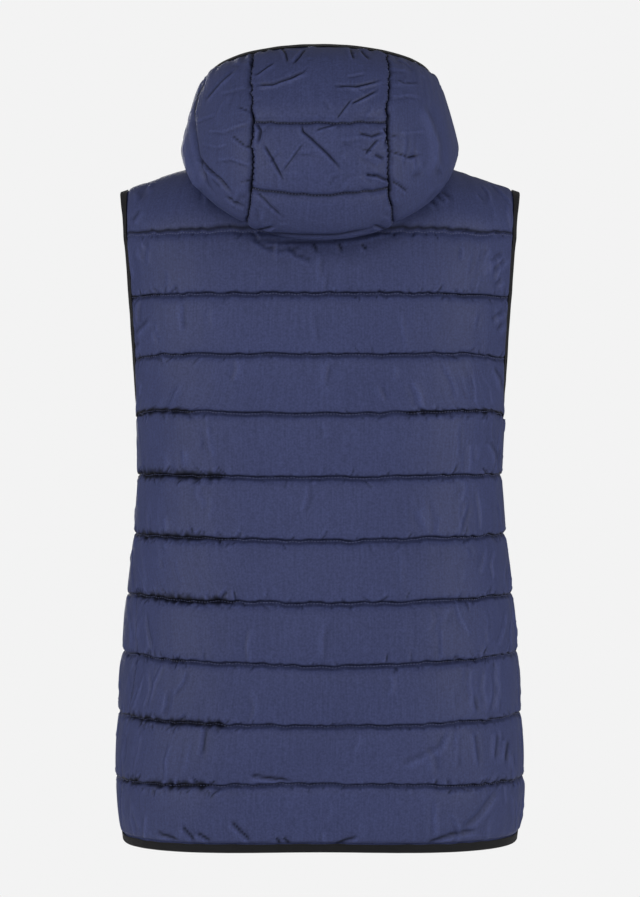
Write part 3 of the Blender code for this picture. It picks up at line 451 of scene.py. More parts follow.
def hood_grid():
    """The hood's inside points, outward directions and steps, as rows from the neck seam to the face edge."""
    rings = np.stack([ring_point(ring, hood_turns(ring)) for ring in range(len(HOOD_RINGS))])
    rings[0] = neck_line(hood_turns(0))[0]
    knots = np.arange(len(HOOD_RINGS))
    lower = smooth_table(knots, rings, np.array(HOOD_STEPS))
    fine_steps = np.linspace(HOOD_STEPS[-1], knots[-1], HOOD_EDGE_SAMPLES)
    fine = smooth_table(knots, rings, fine_steps)
    run = np.cumsum(np.linalg.norm(np.diff(fine, axis=0), axis=-1), axis=0)
    run = np.concatenate([0 * run[:1], run])
    wanted = np.array(HOOD_EDGE_SHARES)[:, None] * (run[-1] - EDGE_BAND)
    upper = np.empty((len(wanted) + 1,) + lower.shape[1:])
    for j in range(lower.shape[1]):
        for axis in range(3):
            upper[:-1, j, axis] = np.interp(wanted[:, j], run[:, j], fine[:, j, axis])
    upper[-1] = rings[-1]
    points = np.concatenate([lower, upper])
    normals = unit(np.cross(np.gradient(points, axis=1), np.gradient(points, axis=0)))
    normals[0] = neck_line(hood_turns(0))[1]
    points[0] += unit(points[1] - points[0]) * SEAM_GAP / 2
    top = knots[-1] - HOOD_STEPS[-1]
    steps = np.concatenate([HOOD_STEPS, HOOD_STEPS[-1] + top * np.array(HOOD_EDGE_SHARES), [knots[-1] + 1]])
    return points, normals, steps


# Fine cloth grids: rows lie close together beside the stitch lines
CHANNEL_LENGTH = 0.059
ROW_REACHES = (0, 0.0009, 0.0017, 0.0026, 0.0037, 0.0050, 0.0066, 0.0085)
ROW_STEP = 0.0026
YOKE_LENGTH = 0.110
YOKE_CUTS = 38
BAND_CUTS = 3
PANEL_STEP = 0.0016
HOOD_STEP = 0.00100
HOOD_SIDE_STEP = 0.00115
HOOD_PLAIN_STEP = 0.0060
LINING_STRIDE = 6

# How the padding rises beside a stitch line, a seam and a bound edge
LIP_FLAT, LIP_ROUND = 0.0013, 0.0028
UNDER_FLAT, UNDER_ROUND = 0.0018, 0.0080
CROWN_SHARE = 0.36
SEAM_FLAT, SEAM_ROUND = 0.0004, 0.0032
BAND_ROUND = 0.0090
BOUND_RAMP = 0.0040

# Stitch lines: their waver, and how far the channel above hangs over them
LINE_WAVER, WAVER_CELL = 0.0009, 0.014
LINE_JITTER, JITTER_CELL = 0.0008, 0.005
WAVER_REACH = 0.008
LIP_HANG, HANG_CELL = 0.0010, 0.030
LIP_MIDDLE, LIP_HALF = 0.0032, 0.0028
HANG_UNEVEN, MOST_HANG = 0.15, 1.3

# The back's lines from the yoke down: where the crowded stretch at the photograph's left ends and the one at
# its right starts, in pixels, with how crowded each is and how strongly the painted shade at the line's lower
# edge shows
LINE_LOOK_COLUMNS = ("left_end", "left_crowd", "right_start", "right_crowd", "lower_edge")
LINE_LOOKS = (
    (150, 0.15, 480, 0.20, 0.00),
    (168, 0.75, 430, 0.60, 0.45),
    (196, 0.55, 455, 0.35, 0.45),
    (196, 1.00, 402, 0.80, 0.50),
    (226, 1.00, 432, 0.60, 0.55),
    (238, 1.00, 440, 0.60, 0.50),
    (238, 1.00, 446, 0.65, 0.55),
    (190, 0.70, 430, 0.55, 0.50),
    (228, 1.00, 455, 0.60, 0.55),
    (217, 1.00, 440, 0.70, 0.50),
    (150, 0.20, 480, 0.20, 0.00),
)
MIDDLE_CROWD = 0.18
CROWD_FADE = 16

# How dark the painted shade in the cloth's hollows is: the crevice above and below a stitch line, and creases
# by their depth
CREVICE_UP, CREVICE_DOWN = 0.0019, -0.0021
CREVICE_HALF = 0.0008
CREVICE_FLOOR = 0.30
THIN_LINE = 0.85
CREVICE_HANG_HALF = 0.0040
CREVICE_HANG_MIDDLE = 0.0008
OVER_START, OVER_RAMP, OVER_FADE = 0.4, 0.6, 0.2
OVER_UNEVEN, LEAST_OVER, MOST_OVER = 0.2, 0.05, 1.2
JAG_CELL = 0.0038
JAG_WIDTH, JAG_WIDTHS = 0.55, (0.35, 1.6)
BROKEN_MEAN, BROKEN_SPREAD, BROKEN_LEAST = 0.85, 0.4, 0.3
PAINTED_SHADE_FULL_DEPTH = 0.0012
PAINTED_SHADE_DARKEST = 0.06
# Painted highlight: how much lighter the colour is made on the ridges beside creases
PAINTED_RIDGE_HIGHLIGHT = 0.28

# Cloth solver
SETTLE_ROUNDS = 60
SMOOTHING = 0.015
PUSH = 0.00003
SAG = 0.00001
EXCESS_MIDDLE = 0.008
EXCESS_SIDE = 0.022
EXCESS_HOOD = 0.014
EXCESS_CELL = 0.0075
EXCESS_SIDE_START, EXCESS_SIDE_RAMP = 0.09, 0.08
EXCESS_LINE_POWER, EXCESS_LINE_GAIN = 1.6, (0.25, 0.75)
EXCESS_EDGE_SHARE, EXCESS_EDGE_GAIN = 0.5, (0.45, 0.55)
START_CELL, START_HEIGHT = 0.022, 0.0012
START_EXCESS, START_SHARES = 0.04, (0.15, 1.2)
SPARE_SHARE = {"across": 1.0, "down": 0.25, "slant": 0.6}
STIFFNESS = {("across", 1): 0.9, ("down", 1): 0.9, ("across", 2): 0.35, ("down", 2): 0.35, ("slant", 1): 0.25}
LEAST_THICKNESS = SEAM_THICKNESS * 0.6
MOST_SWELL = 0.0035
TURNS_PER_NORMAL = 8
SEED = 7

# Section of a crease, in its own widths: the ridge beside it, and how its two ends fade
CREASE_REACH = 4
RIDGE_HEIGHT, RIDGE_MIDDLE, RIDGE_HALF = 0.65, 2.1, 1.1
CREASE_START_FADE, CREASE_END_FADE = 0.15, 0.3
# How fully a crease's ridge takes the painted highlight
PAINTED_HIGHLIGHT_GAIN = 1.6
CREASE_WIDTH_SHARE = 0.85
CREASE_DEPTH_UNIT = 0.0015
# How strongly a crease paints shade into its bottom, less for wide ones
PAINTED_SHADE_WIDTH, PAINTED_SHADE_POWER, MOST_PAINTED_SHADE = 1.7, 2.5, 0.95
BACK_LEAST_WIDTH = 2.0
HOOD_LEAST_WIDTH = 1.05
FACING_START, FACING_RAMP = 0.02, 0.2

# Puckers along the stitch lines
PUCKER_SPACING = 0.0058
PUCKER_LENGTH = (0.003, 0.013)
PUCKER_WIDTH = (0.0008, 0.0014)
PUCKER_DEPTH = (0.0006, 0.0017)
PUCKER_SLANT = 1.3
PUCKER_GAMMA = (2.0, 0.0030)
PUCKER_LEAN, PUCKER_BEND, PUCKER_BOW = 0.8, 0.25, 0.3
PUCKER_START, PUCKER_FIRST = 0.0006, 0.01
# How much shade each pucker and ruffle paints into its bottom
PUCKER_SHADE, RUFFLE_SHADE = 0.9, 0.75
FRONT_CROWD = 0.55
FRONT_LOWER_EDGE = 0.5
UPWARD_SHARE = 0.6
RUFFLE_SPACING = 0.0036
RUFFLE_LENGTH = (0.0026, 0.0062)
RUFFLE_DEPTH = (0.0005, 0.0011)
RUFFLE_WIDTH = 0.0012
RUFFLE_LEAN = 1.2
RUFFLE_STEPS = (0.5, 1.5)
CHANCE_POWER = 1.5

# What grows with the crowding of a line, as (least, gain)
PUCKER_DEPTH_GAIN = (0.55, 0.45)
PUCKER_RATE_GAIN = (0.22, 0.78)
RUFFLE_CHANCE_GAIN = (0.15, 0.85)
RUFFLE_LENGTH_GAIN = (0.6, 0.4)
RUFFLE_START_GAIN = (0.0012, 0.0020)

# Waver of the hood's seams and of its strip's cross lines
HOOD_WAVER = 0.0016
HOOD_LINE_WAVER = 0.0010
HOOD_WAVER_STEP = 0.11
HOOD_WAVER_REACH = 0.010
HOOD_WAVER_RINGS = 6
HOOD_WAVER_START, HOOD_WAVER_RAMP, HOOD_WAVER_END = 0.2, 0.4, 0.3
HOOD_SEAM_SEED, HOOD_LINE_SEED = SEED + 11, SEED + 31
HOOD_LINE_END = 0.008
HOOD_LINE_REACH = 0.009
HOOD_LINE_STATIONS = 22
# Half widths of the painted shade beside the hood's seams and at the strip's cross lines
HOOD_SEAM_HALF = 0.0013
HOOD_LINE_HALF = 0.0012

# Gathers beside the hood's elastic face edge
GATHER_HEIGHT = 0.0022
GATHER_REACH = 0.014
GATHER_CELL = 0.0055
GATHER_ROW_CELL = 0.030

# Upright wrinkles at the ends of the channels, and short level ones on the hood's sides
WRINKLES_PER_END = (6, 12)
WRINKLE_REACH = 0.150
WRINKLE_LENGTH = (0.010, 0.042)
WRINKLE_WIDTH = (0.0016, 0.0028)
WRINKLE_DEPTH = (0.0004, 0.0012)
WRINKLE_LEAN, WRINKLE_BEND = 0.22, 0.10
WRINKLE_SIGNS = (1, -1, -1)
# WRINKLE_SHADE: how much shade each end wrinkle paints into its bottom
WRINKLE_MOST_SHARE, WRINKLE_SHADE = 0.9, 0.25
HOOD_WRINKLES = 46
HOOD_WRINKLE_LENGTH = (0.006, 0.024)
HOOD_WRINKLE_WIDTH = (0.0012, 0.0019)
HOOD_WRINKLE_DEPTH = (0.0003, 0.0008)
HOOD_WRINKLE_TURN, HOOD_WRINKLE_BEND = 0.55, 0.12
HOOD_WRINKLE_SIGNS = (1, -0.8)
# How much shade each hood wrinkle paints into its bottom
HOOD_WRINKLE_SHADE = 0.45

# Face edge of the hood, where the padding thins out towards the binding
FACE_FLAT, FACE_ROUND = 0.0020, 0.0220

# Broad unevenness of the padding
UNEVEN_HEIGHT = 0.0006
UNEVEN_CELLS = (0.024, 0.045)

# Main creases of the hood in the photograph: path in its pixels, width in pixels, depth in millimetres
HOOD_CREASES = (
    (((255, 85), (273, 84), (290, 78), (303, 72), (312, 64)), 1.7, 1.5),
    (((301, 120), (303, 131), (312, 139), (327, 153), (346, 174)), 1.6, 1.4),
    (((264, 143), (275, 163), (286, 184)), 1.5, 1.2),
    (((304, 142), (293, 157), (280, 175)), 1.2, 0.6),
    (((256, 189), (272, 206), (286, 219)), 1.4, 0.7),
    (((335, 85), (356, 86), (373, 82), (384, 78)), 1.6, 1.2),
    (((350, 104), (366, 96), (380, 88)), 1.4, 1.0),
    (((336, 119), (345, 107), (354, 96)), 1.2, 0.7),
    (((315, 131), (331, 125), (340, 121)), 1.3, 0.7),
    (((358, 133), (372, 136), (386, 131)), 1.5, 1.2),
    (((364, 155), (373, 144), (380, 137)), 1.3, 0.9),
    (((362, 149), (374, 151)), 1.2, 0.6),
    (((363, 174), (377, 175), (387, 180), (393, 189)), 1.7, 1.5),
    (((389, 180), (399, 185), (410, 193)), 1.5, 1.3),
    (((256, 122), (261, 130), (258, 145)), 1.8, 1.5),
    (((383, 126), (388, 135), (384, 147)), 1.7, 1.3),
    (((374, 154), (384, 159)), 1.7, 1.2),
    (((205, 101), (220, 83), (239, 66)), 1.6, 1.3),
    (((196, 155), (208, 168), (220, 178), (236, 197)), 1.7, 1.5),
    (((226, 195), (237, 203), (249, 208)), 1.5, 1.1),
    (((191, 108), (193, 135), (196, 156), (203, 176), (207, 202)), 4.5, 2.2),
    (((210, 72), (198, 95), (193, 122), (196, 150), (205, 180), (225, 205)), 1.8, 1.2),
    (((207, 131), (225, 131), (237, 126), (255, 121)), 1.3, -0.7),
    (((197, 121), (217, 113)), 1.4, -0.6),
    (((220, 93), (237, 89), (249, 86)), 1.3, -0.6),
    (((237, 106), (256, 114)), 1.2, 0.7),
    (((202, 143), (218, 147), (229, 143)), 1.3, -0.6),
    (((216, 159), (233, 158), (245, 163), (257, 167)), 1.4, -0.8),
    (((231, 134), (245, 145), (259, 151)), 1.3, 0.8),
    (((240, 181), (257, 180)), 1.3, 0.7),
    (((384, 69), (409, 71)), 1.3, -0.6),
    (((395, 79), (403, 83), (421, 83)), 1.2, 0.6),
    (((384, 86), (401, 85)), 1.2, -0.5),
    (((384, 96), (394, 97), (408, 95), (423, 98)), 1.3, -0.7),
    (((398, 134), (427, 131)), 1.4, -0.7),
    (((388, 134), (400, 137)), 1.2, 0.6),
    (((384, 150), (397, 153), (409, 157), (426, 153)), 1.4, 0.9),
    (((426, 100), (437, 122), (443, 142), (443, 162), (432, 184)), 5.0, 2.0),
    (((252, 52), (253, 70)), 1.8, 1.2),
    (((255, 76), (277, 61)), 1.4, 0.9),
    (((281, 47), (286, 54), (288, 64)), 1.4, 1.0),
    (((306, 49), (300, 57), (291, 66)), 1.4, 0.8),
    (((350, 48), (354, 60)), 1.5, 1.0),
    (((360, 50), (370, 60)), 1.4, 0.9),
    (((249, 230), (264, 229), (277, 225)), 1.5, 0.9),
    (((246, 227), (270, 233), (300, 235), (335, 235), (368, 229), (392, 219)), 2.0, 0.9),
    (((213, 209), (228, 219), (247, 227)), 1.8, 0.9),
    (((372, 224), (386, 229), (398, 226)), 1.5, 0.8),
)

# Main creases of the back, the same way
BACK_CREASES = (
    (((156, 831), (170, 836), (184, 841)), 1.5, 0.9),
    (((182, 825), (190, 834), (197, 842)), 1.5, 1.1),
    (((196, 831), (213, 842)), 1.4, 1.0),
    (((230, 820), (241, 831), (253, 843)), 1.5, 1.1),
    (((276, 837), (281, 844)), 1.3, 0.9),
    (((283, 837), (291, 844)), 1.3, 0.9),
    (((333, 844), (346, 839), (361, 835)), 1.4, 0.8),
    (((424, 843), (453, 833), (484, 828)), 1.8, 1.3),
    (((461, 829), (476, 816), (491, 796), (499, 784)), 2.6, 1.2),
    (((248, 774), (267, 777), (297, 781)), 1.5, 1.0),
    (((400, 764), (420, 755), (438, 746), (448, 724)), 3.0, 0.8),
    (((473, 694), (478, 714)), 2.2, 0.8),
    (((475, 732), (480, 768)), 2.4, 0.9),
    (((498, 732), (495, 762)), 2.2, 0.9),
    (((508, 739), (505, 765)), 2.0, 0.8),
    (((207, 722), (203, 760)), 1.8, 0.6),
    (((313, 243), (318, 252)), 1.3, 0.8),
    (((338, 242), (343, 252)), 1.3, 0.8),
    (((361, 243), (367, 250)), 1.3, 0.8),
    (((424, 196), (438, 206)), 2.2, 0.9),
    (((431, 190), (446, 203)), 2.2, 0.9),
    (((440, 190), (453, 200)), 2.2, 0.8),
    (((246, 235), (262, 240), (290, 242), (330, 241), (360, 237), (388, 230), (410, 218)), 2.2, 1.0),
    (((252, 238), (266, 247), (281, 250)), 2.2, 1.0),
    (((286, 244), (296, 254), (317, 262)), 2.2, 1.0),
    (((276, 250), (292, 249), (305, 245)), 2.2, 0.9),
    (((489, 262), (496, 256), (504, 250)), 2.4, 1.1),
    (((493, 270), (501, 262), (505, 255)), 2.4, 0.9),
    (((494, 285), (502, 277)), 2.4, 0.9),
    (((491, 320), (497, 314), (505, 309)), 2.4, 1.1),
    (((496, 330), (503, 322)), 2.4, 0.8),
    (((494, 366), (501, 378), (503, 392)), 2.4, 0.9),
    (((490, 440), (497, 452), (499, 466)), 2.4, 0.8),
    (((132, 221), (137, 214), (141, 209)), 2.4, 0.8),
    (((134, 334), (141, 326), (150, 318)), 2.4, 0.8),
    (((133, 350), (139, 341)), 2.4, 0.7),
)

# Sewing
STITCH_PITCH = 0.0030
STITCH_LENGTH = 0.0021
STITCH_RADIUS = 0.00044
THREAD_LIFT = 0.0002
THREAD_SUNK = -0.0002
THREAD_SIDES = 5
# Rings of one stitch: share along it, width, and rise in radii
THREAD_RINGS = ((-0.5, 0.4, -0.8), (-0.25, 1.0, 0.2), (0.25, 1.0, 0.2), (0.5, 0.4, -0.8))

# Binding's uneven stretch, and how finely bindings and tapes are cut
BINDING_WAVE_CELL, BINDING_DRAW, BINDING_SWELL = 0.011, 0.07, 0.06
BINDING_STEP, TAPE_STEP, TAPE_COLUMNS = 0.0024, 0.004, 7

# Zip coil, with the rings of one tooth as (reach over the middle, width)
COIL_PITCH, COIL_SIDES = 0.00135, 6
COIL_RINGS = ((-0.0007, 0.35), (-0.0002, 0.9), (0.0010, 1.0), (0.0024, 0.9), (0.0030, 0.5))
COIL_HALF_LENGTH, COIL_HALF_DEPTH, COIL_RAISED = 0.00052, 0.00125, 0.00005
COIL_CLEAR_BOX, COIL_CLEAR_SLIDER = 0.0010, 0.0008

# Hard zip pieces: node, body and bevel width
HARD_PIECES = (
    ("zip_bottom_box", "vest", 0.0005),
    ("zip_slider", "vest", 0.00030),
    ("zip_pull_tab", "pull_tab", 0.00025),
)

# Camera, as the photograph was taken, and the room round it
CAMERA_DISTANCE = 2.4
CAMERA_HEIGHT = -0.2685
PHOTO_SIZE = (640, 897)
PIXELS_PER_METRE = 1000.0
FLOOR_HEIGHT = -1.42
FLOOR_RADIUS = 3.7
BACKDROP_RADIUS = 9.0
BACKDROP_GREY = 0.896

# Lights: place, size and power in watts; all are turned to the middle of the vest
WORLD_STRENGTH = 0.22
LIGHT_TARGET = (0, 0, -0.27)
LIGHTS = {
    "key": ((0.2, 3.0, 0.85), (2.4, 1.2), 31),
    "left_box": ((2.6, 1.6, 0.0), (1.0, 2.0), 57),
    "right_box": ((-2.6, 1.6, 0.0), (1.0, 2.0), 59),
    "front_box": ((0.4, -3.0, 0.2), (1.4, 1.8), 40),
}

# Colours, as linear values
NAVY = (0.0335, 0.0405, 0.0985)
NAVY_DARK = (0.020, 0.024, 0.058)
NAVY_THREAD = (0.044, 0.052, 0.116)
BLACK = (0.0042, 0.0042, 0.0052)
COIL = (0.016, 0.018, 0.030)
GUNMETAL = (0.080, 0.082, 0.092)
PALE = (0.80, 0.80, 0.80)
TINT_RANGE = (0.3, 0.7)


def mean_run(points, axis):
    """The mean length run along one way of a grid, which spaces the knots of its finer copy."""
    steps = np.linalg.norm(np.diff(points, axis=axis), axis=-1).mean(axis=1 - axis)
    return np.concatenate([[0.0], np.cumsum(steps)])


def line_run(points):
    """The length run along a line."""
    return np.concatenate([[0.0], np.cumsum(np.linalg.norm(np.diff(points, axis=0), axis=-1))])


def refine(grid, row_knots, rows, column_knots, columns):
    """A finer grid through a coarse one, on cubic spans both ways."""
    fine = np.swapaxes(smooth_table(row_knots, grid, rows), 0, 1)
    return np.swapaxes(smooth_table(column_knots, fine, columns), 0, 1)


def soft_noise(rng, shape, cells):
    """Seeded smooth noise between -1 and 1 on a grid, with about this many cells each way."""
    cells = [max(1, int(count)) for count in cells]
    coarse = rng.uniform(-1, 1, (cells[0] + 3, cells[1] + 3))
    places = [np.linspace(1, count + 1, size) for count, size in zip(cells, shape)]
    return refine(coarse, np.arange(cells[0] + 3.0), places[0], np.arange(cells[1] + 3.0), places[1])


def reach_to(points, line):
    """Distances from a fine grid to a line, row by row."""
    return np.stack([distance_to_line(row, line) for row in points])


def panel_labels():
    """The coarse rows' labels: the stitch line below plus the share of the way to the next line."""
    body = [line + share for line, share in torso_rows()]
    return np.array(body + [len(QUILT_LINES) + share for share in YOKE_STEPS])


def line_shares():
    """Row places across one channel, close together at its two stitch lines."""
    low = [reach / CHANNEL_LENGTH for reach in ROW_REACHES]
    cuts = round((1 - 2 * low[-1]) * CHANNEL_LENGTH / ROW_STEP)
    middle = np.linspace(low[-1], 1 - low[-1], cuts + 1)[1:-1]
    return np.concatenate([low, middle, [1 - share for share in low[:0:-1]]])


def fine_labels():
    lines = len(QUILT_LINES)
    band = np.arange(BAND_CUTS) / BAND_CUTS
    channels = (1 + np.arange(lines - 1)[:, None] + line_shares()).ravel()
    first = np.array(ROW_REACHES) / YOKE_LENGTH
    yoke = np.concatenate([first, np.linspace(first[-1], 1, YOKE_CUTS + 1)[1:]])
    return np.concatenate([band, channels, lines + yoke])


def rounded(distance, flat, radius):
    """A quarter-round rise from 0 to 1, after a flat strip."""
    across = np.clip((distance - flat) / radius, 0, 1)
    return np.sqrt(across * (2 - across))


def bell(offset, half, power=2):
    """1 at no offset, falling off over about this half width."""
    return np.exp(-((offset / half) ** power))


def channel_rise(share, length=CHANNEL_LENGTH):
    """How far the padding stands across a channel: a full lower lip, a longer upper slope and a low crown."""
    lips = np.minimum(
        rounded(share * length, LIP_FLAT, LIP_ROUND), rounded((1 - share) * length, UNDER_FLAT, UNDER_ROUND)
    )
    return (1 - CROWN_SHARE) * lips + CROWN_SHARE * (1 - (2 * share - 1) ** 2)


def joined_back():
    """The whole back's coarse grid from its two halves, left edge first."""
    left, right = half_panel(1, "back"), half_panel(-1, "back")
    whole = {"seam_rows": left["seam_rows"]}
    for key in ("points", "normals"):
        whole[key] = np.concatenate([left[key], right[key][:, -2::-1]], axis=1)
    return whole


def fine_panel(panel, face):
    """A panel's fine inside grid with its directions, runs, free points and padded thickness."""
    points, normals, seam_rows = panel["points"], panel["normals"], panel["seam_rows"]
    row_knots, column_knots = mean_run(points, 0), mean_run(points, 1)
    labels = fine_labels()
    rows = np.interp(labels, panel_labels(), row_knots)
    columns = np.linspace(0, column_knots[-1], round(column_knots[-1] / PANEL_STEP) + 1)
    fine = refine(points, row_knots, rows, column_knots, columns)
    out = unit(refine(normals, row_knots, rows, column_knots, columns))
    share = labels - np.floor(labels)
    lines = len(QUILT_LINES)
    puff = np.where(labels > lines, YOKE_PUFF, np.where(labels < 1, 0.0, BODY_PUFF))
    side_share = SIDE_PUFF_SHARE + (1 - SIDE_PUFF_SHARE) * out[..., 1] ** 2
    rise = (channel_rise(share) * puff)[:, None] * side_share
    edges = [0, -1] if face == "back" else [0]
    seam = np.min([reach_to(fine, points[:seam_rows, edge]) for edge in edges], axis=0)
    armhole = np.min([reach_to(fine, points[seam_rows - 1 :, edge]) for edge in edges], axis=0)
    last = points.shape[1] - SHOULDER_SPANS if face == "back" else points.shape[1]
    neck = reach_to(fine, points[-1, SHOULDER_SPANS:last])
    edge = np.minimum(rounded(seam, SEAM_FLAT, SEAM_ROUND), smooth_step(neck / NECK_RAMP))
    edge = np.minimum(edge, rounded(armhole, EDGE_BAND, BAND_ROUND))
    edge = np.minimum(edge, smooth_step((labels - 1) * CHANNEL_LENGTH / BOUND_RAMP)[:, None])
    stitched = (np.abs(labels - np.round(labels)) < 1e-9) | (labels < 1)
    held = armhole < EDGE_BAND
    held[stitched] = True
    held[:, 0] = True
    held[:, -1] |= face == "back"
    held[-1] = True
    if face == "front":
        zip_edge = reach_to(fine, points[:, -1])
        edge = np.minimum(edge, rounded(zip_edge, EDGE_BAND, BAND_ROUND))
        held |= zip_edge < EDGE_BAND
    return {
        "points": fine,
        "normals": out,
        "labels": labels,
        "share": share,
        "runs": (rows, columns),
        "free": np.where(held, 0.0, 1.0),
        "thickness": SEAM_THICKNESS + rise * edge,
        "edge": edge,
        "ridge": np.zeros(edge.shape),
        "lines": [i for i, label in enumerate(labels) if label > 1.5 and stitched[i]],
    }


def fine_hood():
    """The hood's three fine grids: left side, centre strip and right side."""
    points, normals, steps = hood_grid()
    first = len(hood_side_shares())
    last = first + STRIP_SPANS
    runs = (
        ("hood_side_left", 0, first, 1),
        ("hood_centre_panel", first, last, 0),
        ("hood_side_right", last, points.shape[1] - 1, -1),
    )
    return {name: fine_hood_run(points, normals, steps, start, end, side) for name, start, end, side in runs}


def fine_hood_run(points, normals, steps, start, end, side):
    """One hood panel's fine grid, with the strip's cross lines or the side panel's plain hidden part."""
    part, out = points[:, start : end + 1].copy(), normals[:, start : end + 1]
    if side < 1:
        part[:, 0] += unit(part[:, 1] - part[:, 0]) * SEAM_GAP / 2
    if side > -1:
        part[:, -1] += unit(part[:, -2] - part[:, -1]) * SEAM_GAP / 2
    row_knots = mean_run(part, 0)
    column_knots = mean_run(part[steps >= HOOD_PLAIN_RING], 1)
    face_edge = steps[-2]
    lines = np.array(HOOD_LINES + (face_edge,))
    stops = np.concatenate([[0.0], lines, [steps[-1]]])
    places = []
    for low, high in zip(stops[:-1], stops[1:]):
        length = np.interp(high, steps, row_knots) - np.interp(low, steps, row_knots)
        spacing = HOOD_PLAIN_STEP if high <= HOOD_PLAIN_RING else HOOD_STEP
        places.append(np.linspace(low, high, max(2, round(length / spacing)), endpoint=False))
    places = np.concatenate(places + [[steps[-1]]])
    rows = np.interp(places, steps, row_knots)
    spacing = HOOD_SIDE_STEP if side else HOOD_STEP
    columns = np.linspace(0, column_knots[-1], round(column_knots[-1] / spacing) + 1)
    fine = refine(part, row_knots, rows, column_knots, columns)
    fine_out = unit(refine(out, row_knots, rows, column_knots, columns))
    if side == 0:
        place = np.clip(np.searchsorted(lines, places, side="right") - 1, 0, len(lines) - 2)
        along = (places - lines[place]) / (lines[place + 1] - lines[place])
        rise = channel_rise(1 - along)[:, None] + np.zeros(len(columns))
        rise[places < lines[0]] = 0
    else:
        turns = np.interp(columns, column_knots, hood_turns(0)[start : end + 1])
        turns = turns if side > 0 else math.pi - turns
        hung = smooth_step((np.degrees(turns) + HOOD_PLAIN_TURN) / HOOD_PLAIN_RAMP)
        along = (places[:, None] - HOOD_PLAIN_RING * hung) / (face_edge - HOOD_PLAIN_RING * hung)
        rise = channel_profile(np.clip(along, 0, 1))
    far = np.full(fine.shape[:2], 1.0)
    left = reach_to(fine, part[:, 0]) if side < 1 else far
    right = reach_to(fine, part[:, -1]) if side > -1 else far
    edge = rounded(np.minimum(left, right), SEAM_FLAT, SEAM_ROUND)
    held = np.zeros(fine.shape[:2], bool)
    held[:, 0] = held[:, -1] = held[0] = True
    held[places >= face_edge] = True
    if side == 0:
        held[[i for i, value in enumerate(places) if np.min(np.abs(lines - value)) < 1e-9]] = True
    else:
        zip_edge = reach_to(fine, part[:, 0] if side > 0 else part[:, -1])
        edge = np.minimum(edge, rounded(zip_edge, EDGE_BAND, BAND_ROUND))
        held |= zip_edge < EDGE_BAND
    from_face = np.interp(face_edge, places, rows) - rows
    edge = np.minimum(edge, rounded(from_face, FACE_FLAT, FACE_ROUND)[:, None])
    rise = HOOD_PUFF * rise * edge * (places < face_edge)[:, None]
    return {
        "points": fine,
        "normals": fine_out,
        "labels": places,
        "share": np.clip((face_edge - places) / (face_edge - HOOD_PLAIN_RING), 0, 1),
        "runs": (rows, columns),
        "free": np.where(held, 0.0, 1.0),
        "thickness": SEAM_THICKNESS + rise,
        "edge": edge,
        "ridge": np.zeros(edge.shape),
        "lines": [i for i, value in enumerate(places) if np.min(np.abs(lines[:-1] - value)) < 1e-9],
    }


def thread_sets(shape):
    """Pairs of slices that join grid points, in sets that share no point, each with its way and reach."""
    rows, columns = shape
    every = slice(None)
    sets = []
    for reach in (1, 2):
        for c in range(2 * reach):
            across = slice(c, columns - reach, 2 * reach), slice(c + reach, columns, 2 * reach)
            down = slice(c, rows - reach, 2 * reach), slice(c + reach, rows, 2 * reach)
            sets.append(((every, across[0]), (every, across[1]), "across", reach))
            sets.append(((down[0], every), (down[1], every), "down", reach))
    for c in (0, 1):
        upper, lower = slice(c, rows - 1, 2), slice(c + 1, rows, 2)
        left, right = slice(0, columns - 1), slice(1, columns)
        sets.append(((upper, left), (lower, right), "slant", 1))
        sets.append(((upper, right), (lower, left), "slant", 1))
    return sets


def pull(cloth, weight, first, second, rest, stiffness, only_short):
    """Moves the two ends of each thread towards its rest length."""
    near, far = cloth[first], cloth[second]
    near_weight, far_weight = weight[first], weight[second]
    apart = far - near
    length = np.sqrt(np.einsum("ijk,ijk->ij", apart, apart))
    share = stiffness * (1 - rest / np.maximum(length, 1e-6)) / np.maximum(near_weight + far_weight, 1e-6)
    if only_short:
        share = np.minimum(share, 0)
    apart *= share[..., None]
    near += apart * near_weight[..., None]
    far -= apart * far_weight[..., None]


def grid_normals(grid, like):
    """Outward directions of a grid, turned as those that it had."""
    out = np.cross(np.gradient(grid, axis=1), np.gradient(grid, axis=0))
    out /= np.maximum(np.linalg.norm(out, axis=-1, keepdims=True), 1e-12)
    return out * np.sign(np.sum(out * like, axis=-1, keepdims=True))


def settle(grid, excess, rng):
    """Lets a padded outside settle: stitch lines hold, padding pushes, and spare length puckers the cloth."""
    base, normals, free = grid["points"], grid["normals"], grid["free"]
    thickness = grid["thickness"]
    target = base + normals * thickness[..., None] + grid["shift"]
    rest = []
    for first, second, way, reach in thread_sets(free.shape):
        length = np.linalg.norm(target[second] - target[first], axis=-1)
        spare = (excess[first] + excess[second]) / 2 * SPARE_SHARE[way]
        rest.append((first, second, length * (1 + spare), STIFFNESS[way, reach], reach > 1))
    rows, columns = grid["runs"]
    cells = ((rows[-1] - rows[0]) / START_CELL, columns[-1] / EXCESS_CELL)
    start = soft_noise(rng, free.shape, cells) * START_HEIGHT * np.clip(excess / START_EXCESS, *START_SHARES)
    cloth = target + normals * (start * free)[..., None]
    low, high = LEAST_THICKNESS, thickness + MOST_SWELL
    out = normals
    for turn in range(SETTLE_ROUNDS):
        fade = 1 - turn / SETTLE_ROUNDS
        if turn % TURNS_PER_NORMAL == 0:
            out = grid_normals(cloth, normals)
        cloth += out * (free * PUSH * fade)[..., None]
        cloth[..., 2] -= free * SAG * fade
        for item in rest:
            pull(cloth, free, *item)
        middle = (cloth[:-2, 1:-1] + cloth[2:, 1:-1] + cloth[1:-1, :-2] + cloth[1:-1, 2:]) / 4
        cloth[1:-1, 1:-1] += (middle - cloth[1:-1, 1:-1]) * (SMOOTHING * free[1:-1, 1:-1])[..., None]
        height = np.sum((cloth - base) * normals, axis=-1)
        cloth += normals * (np.clip(height, low, high) - height)[..., None]
    return cloth


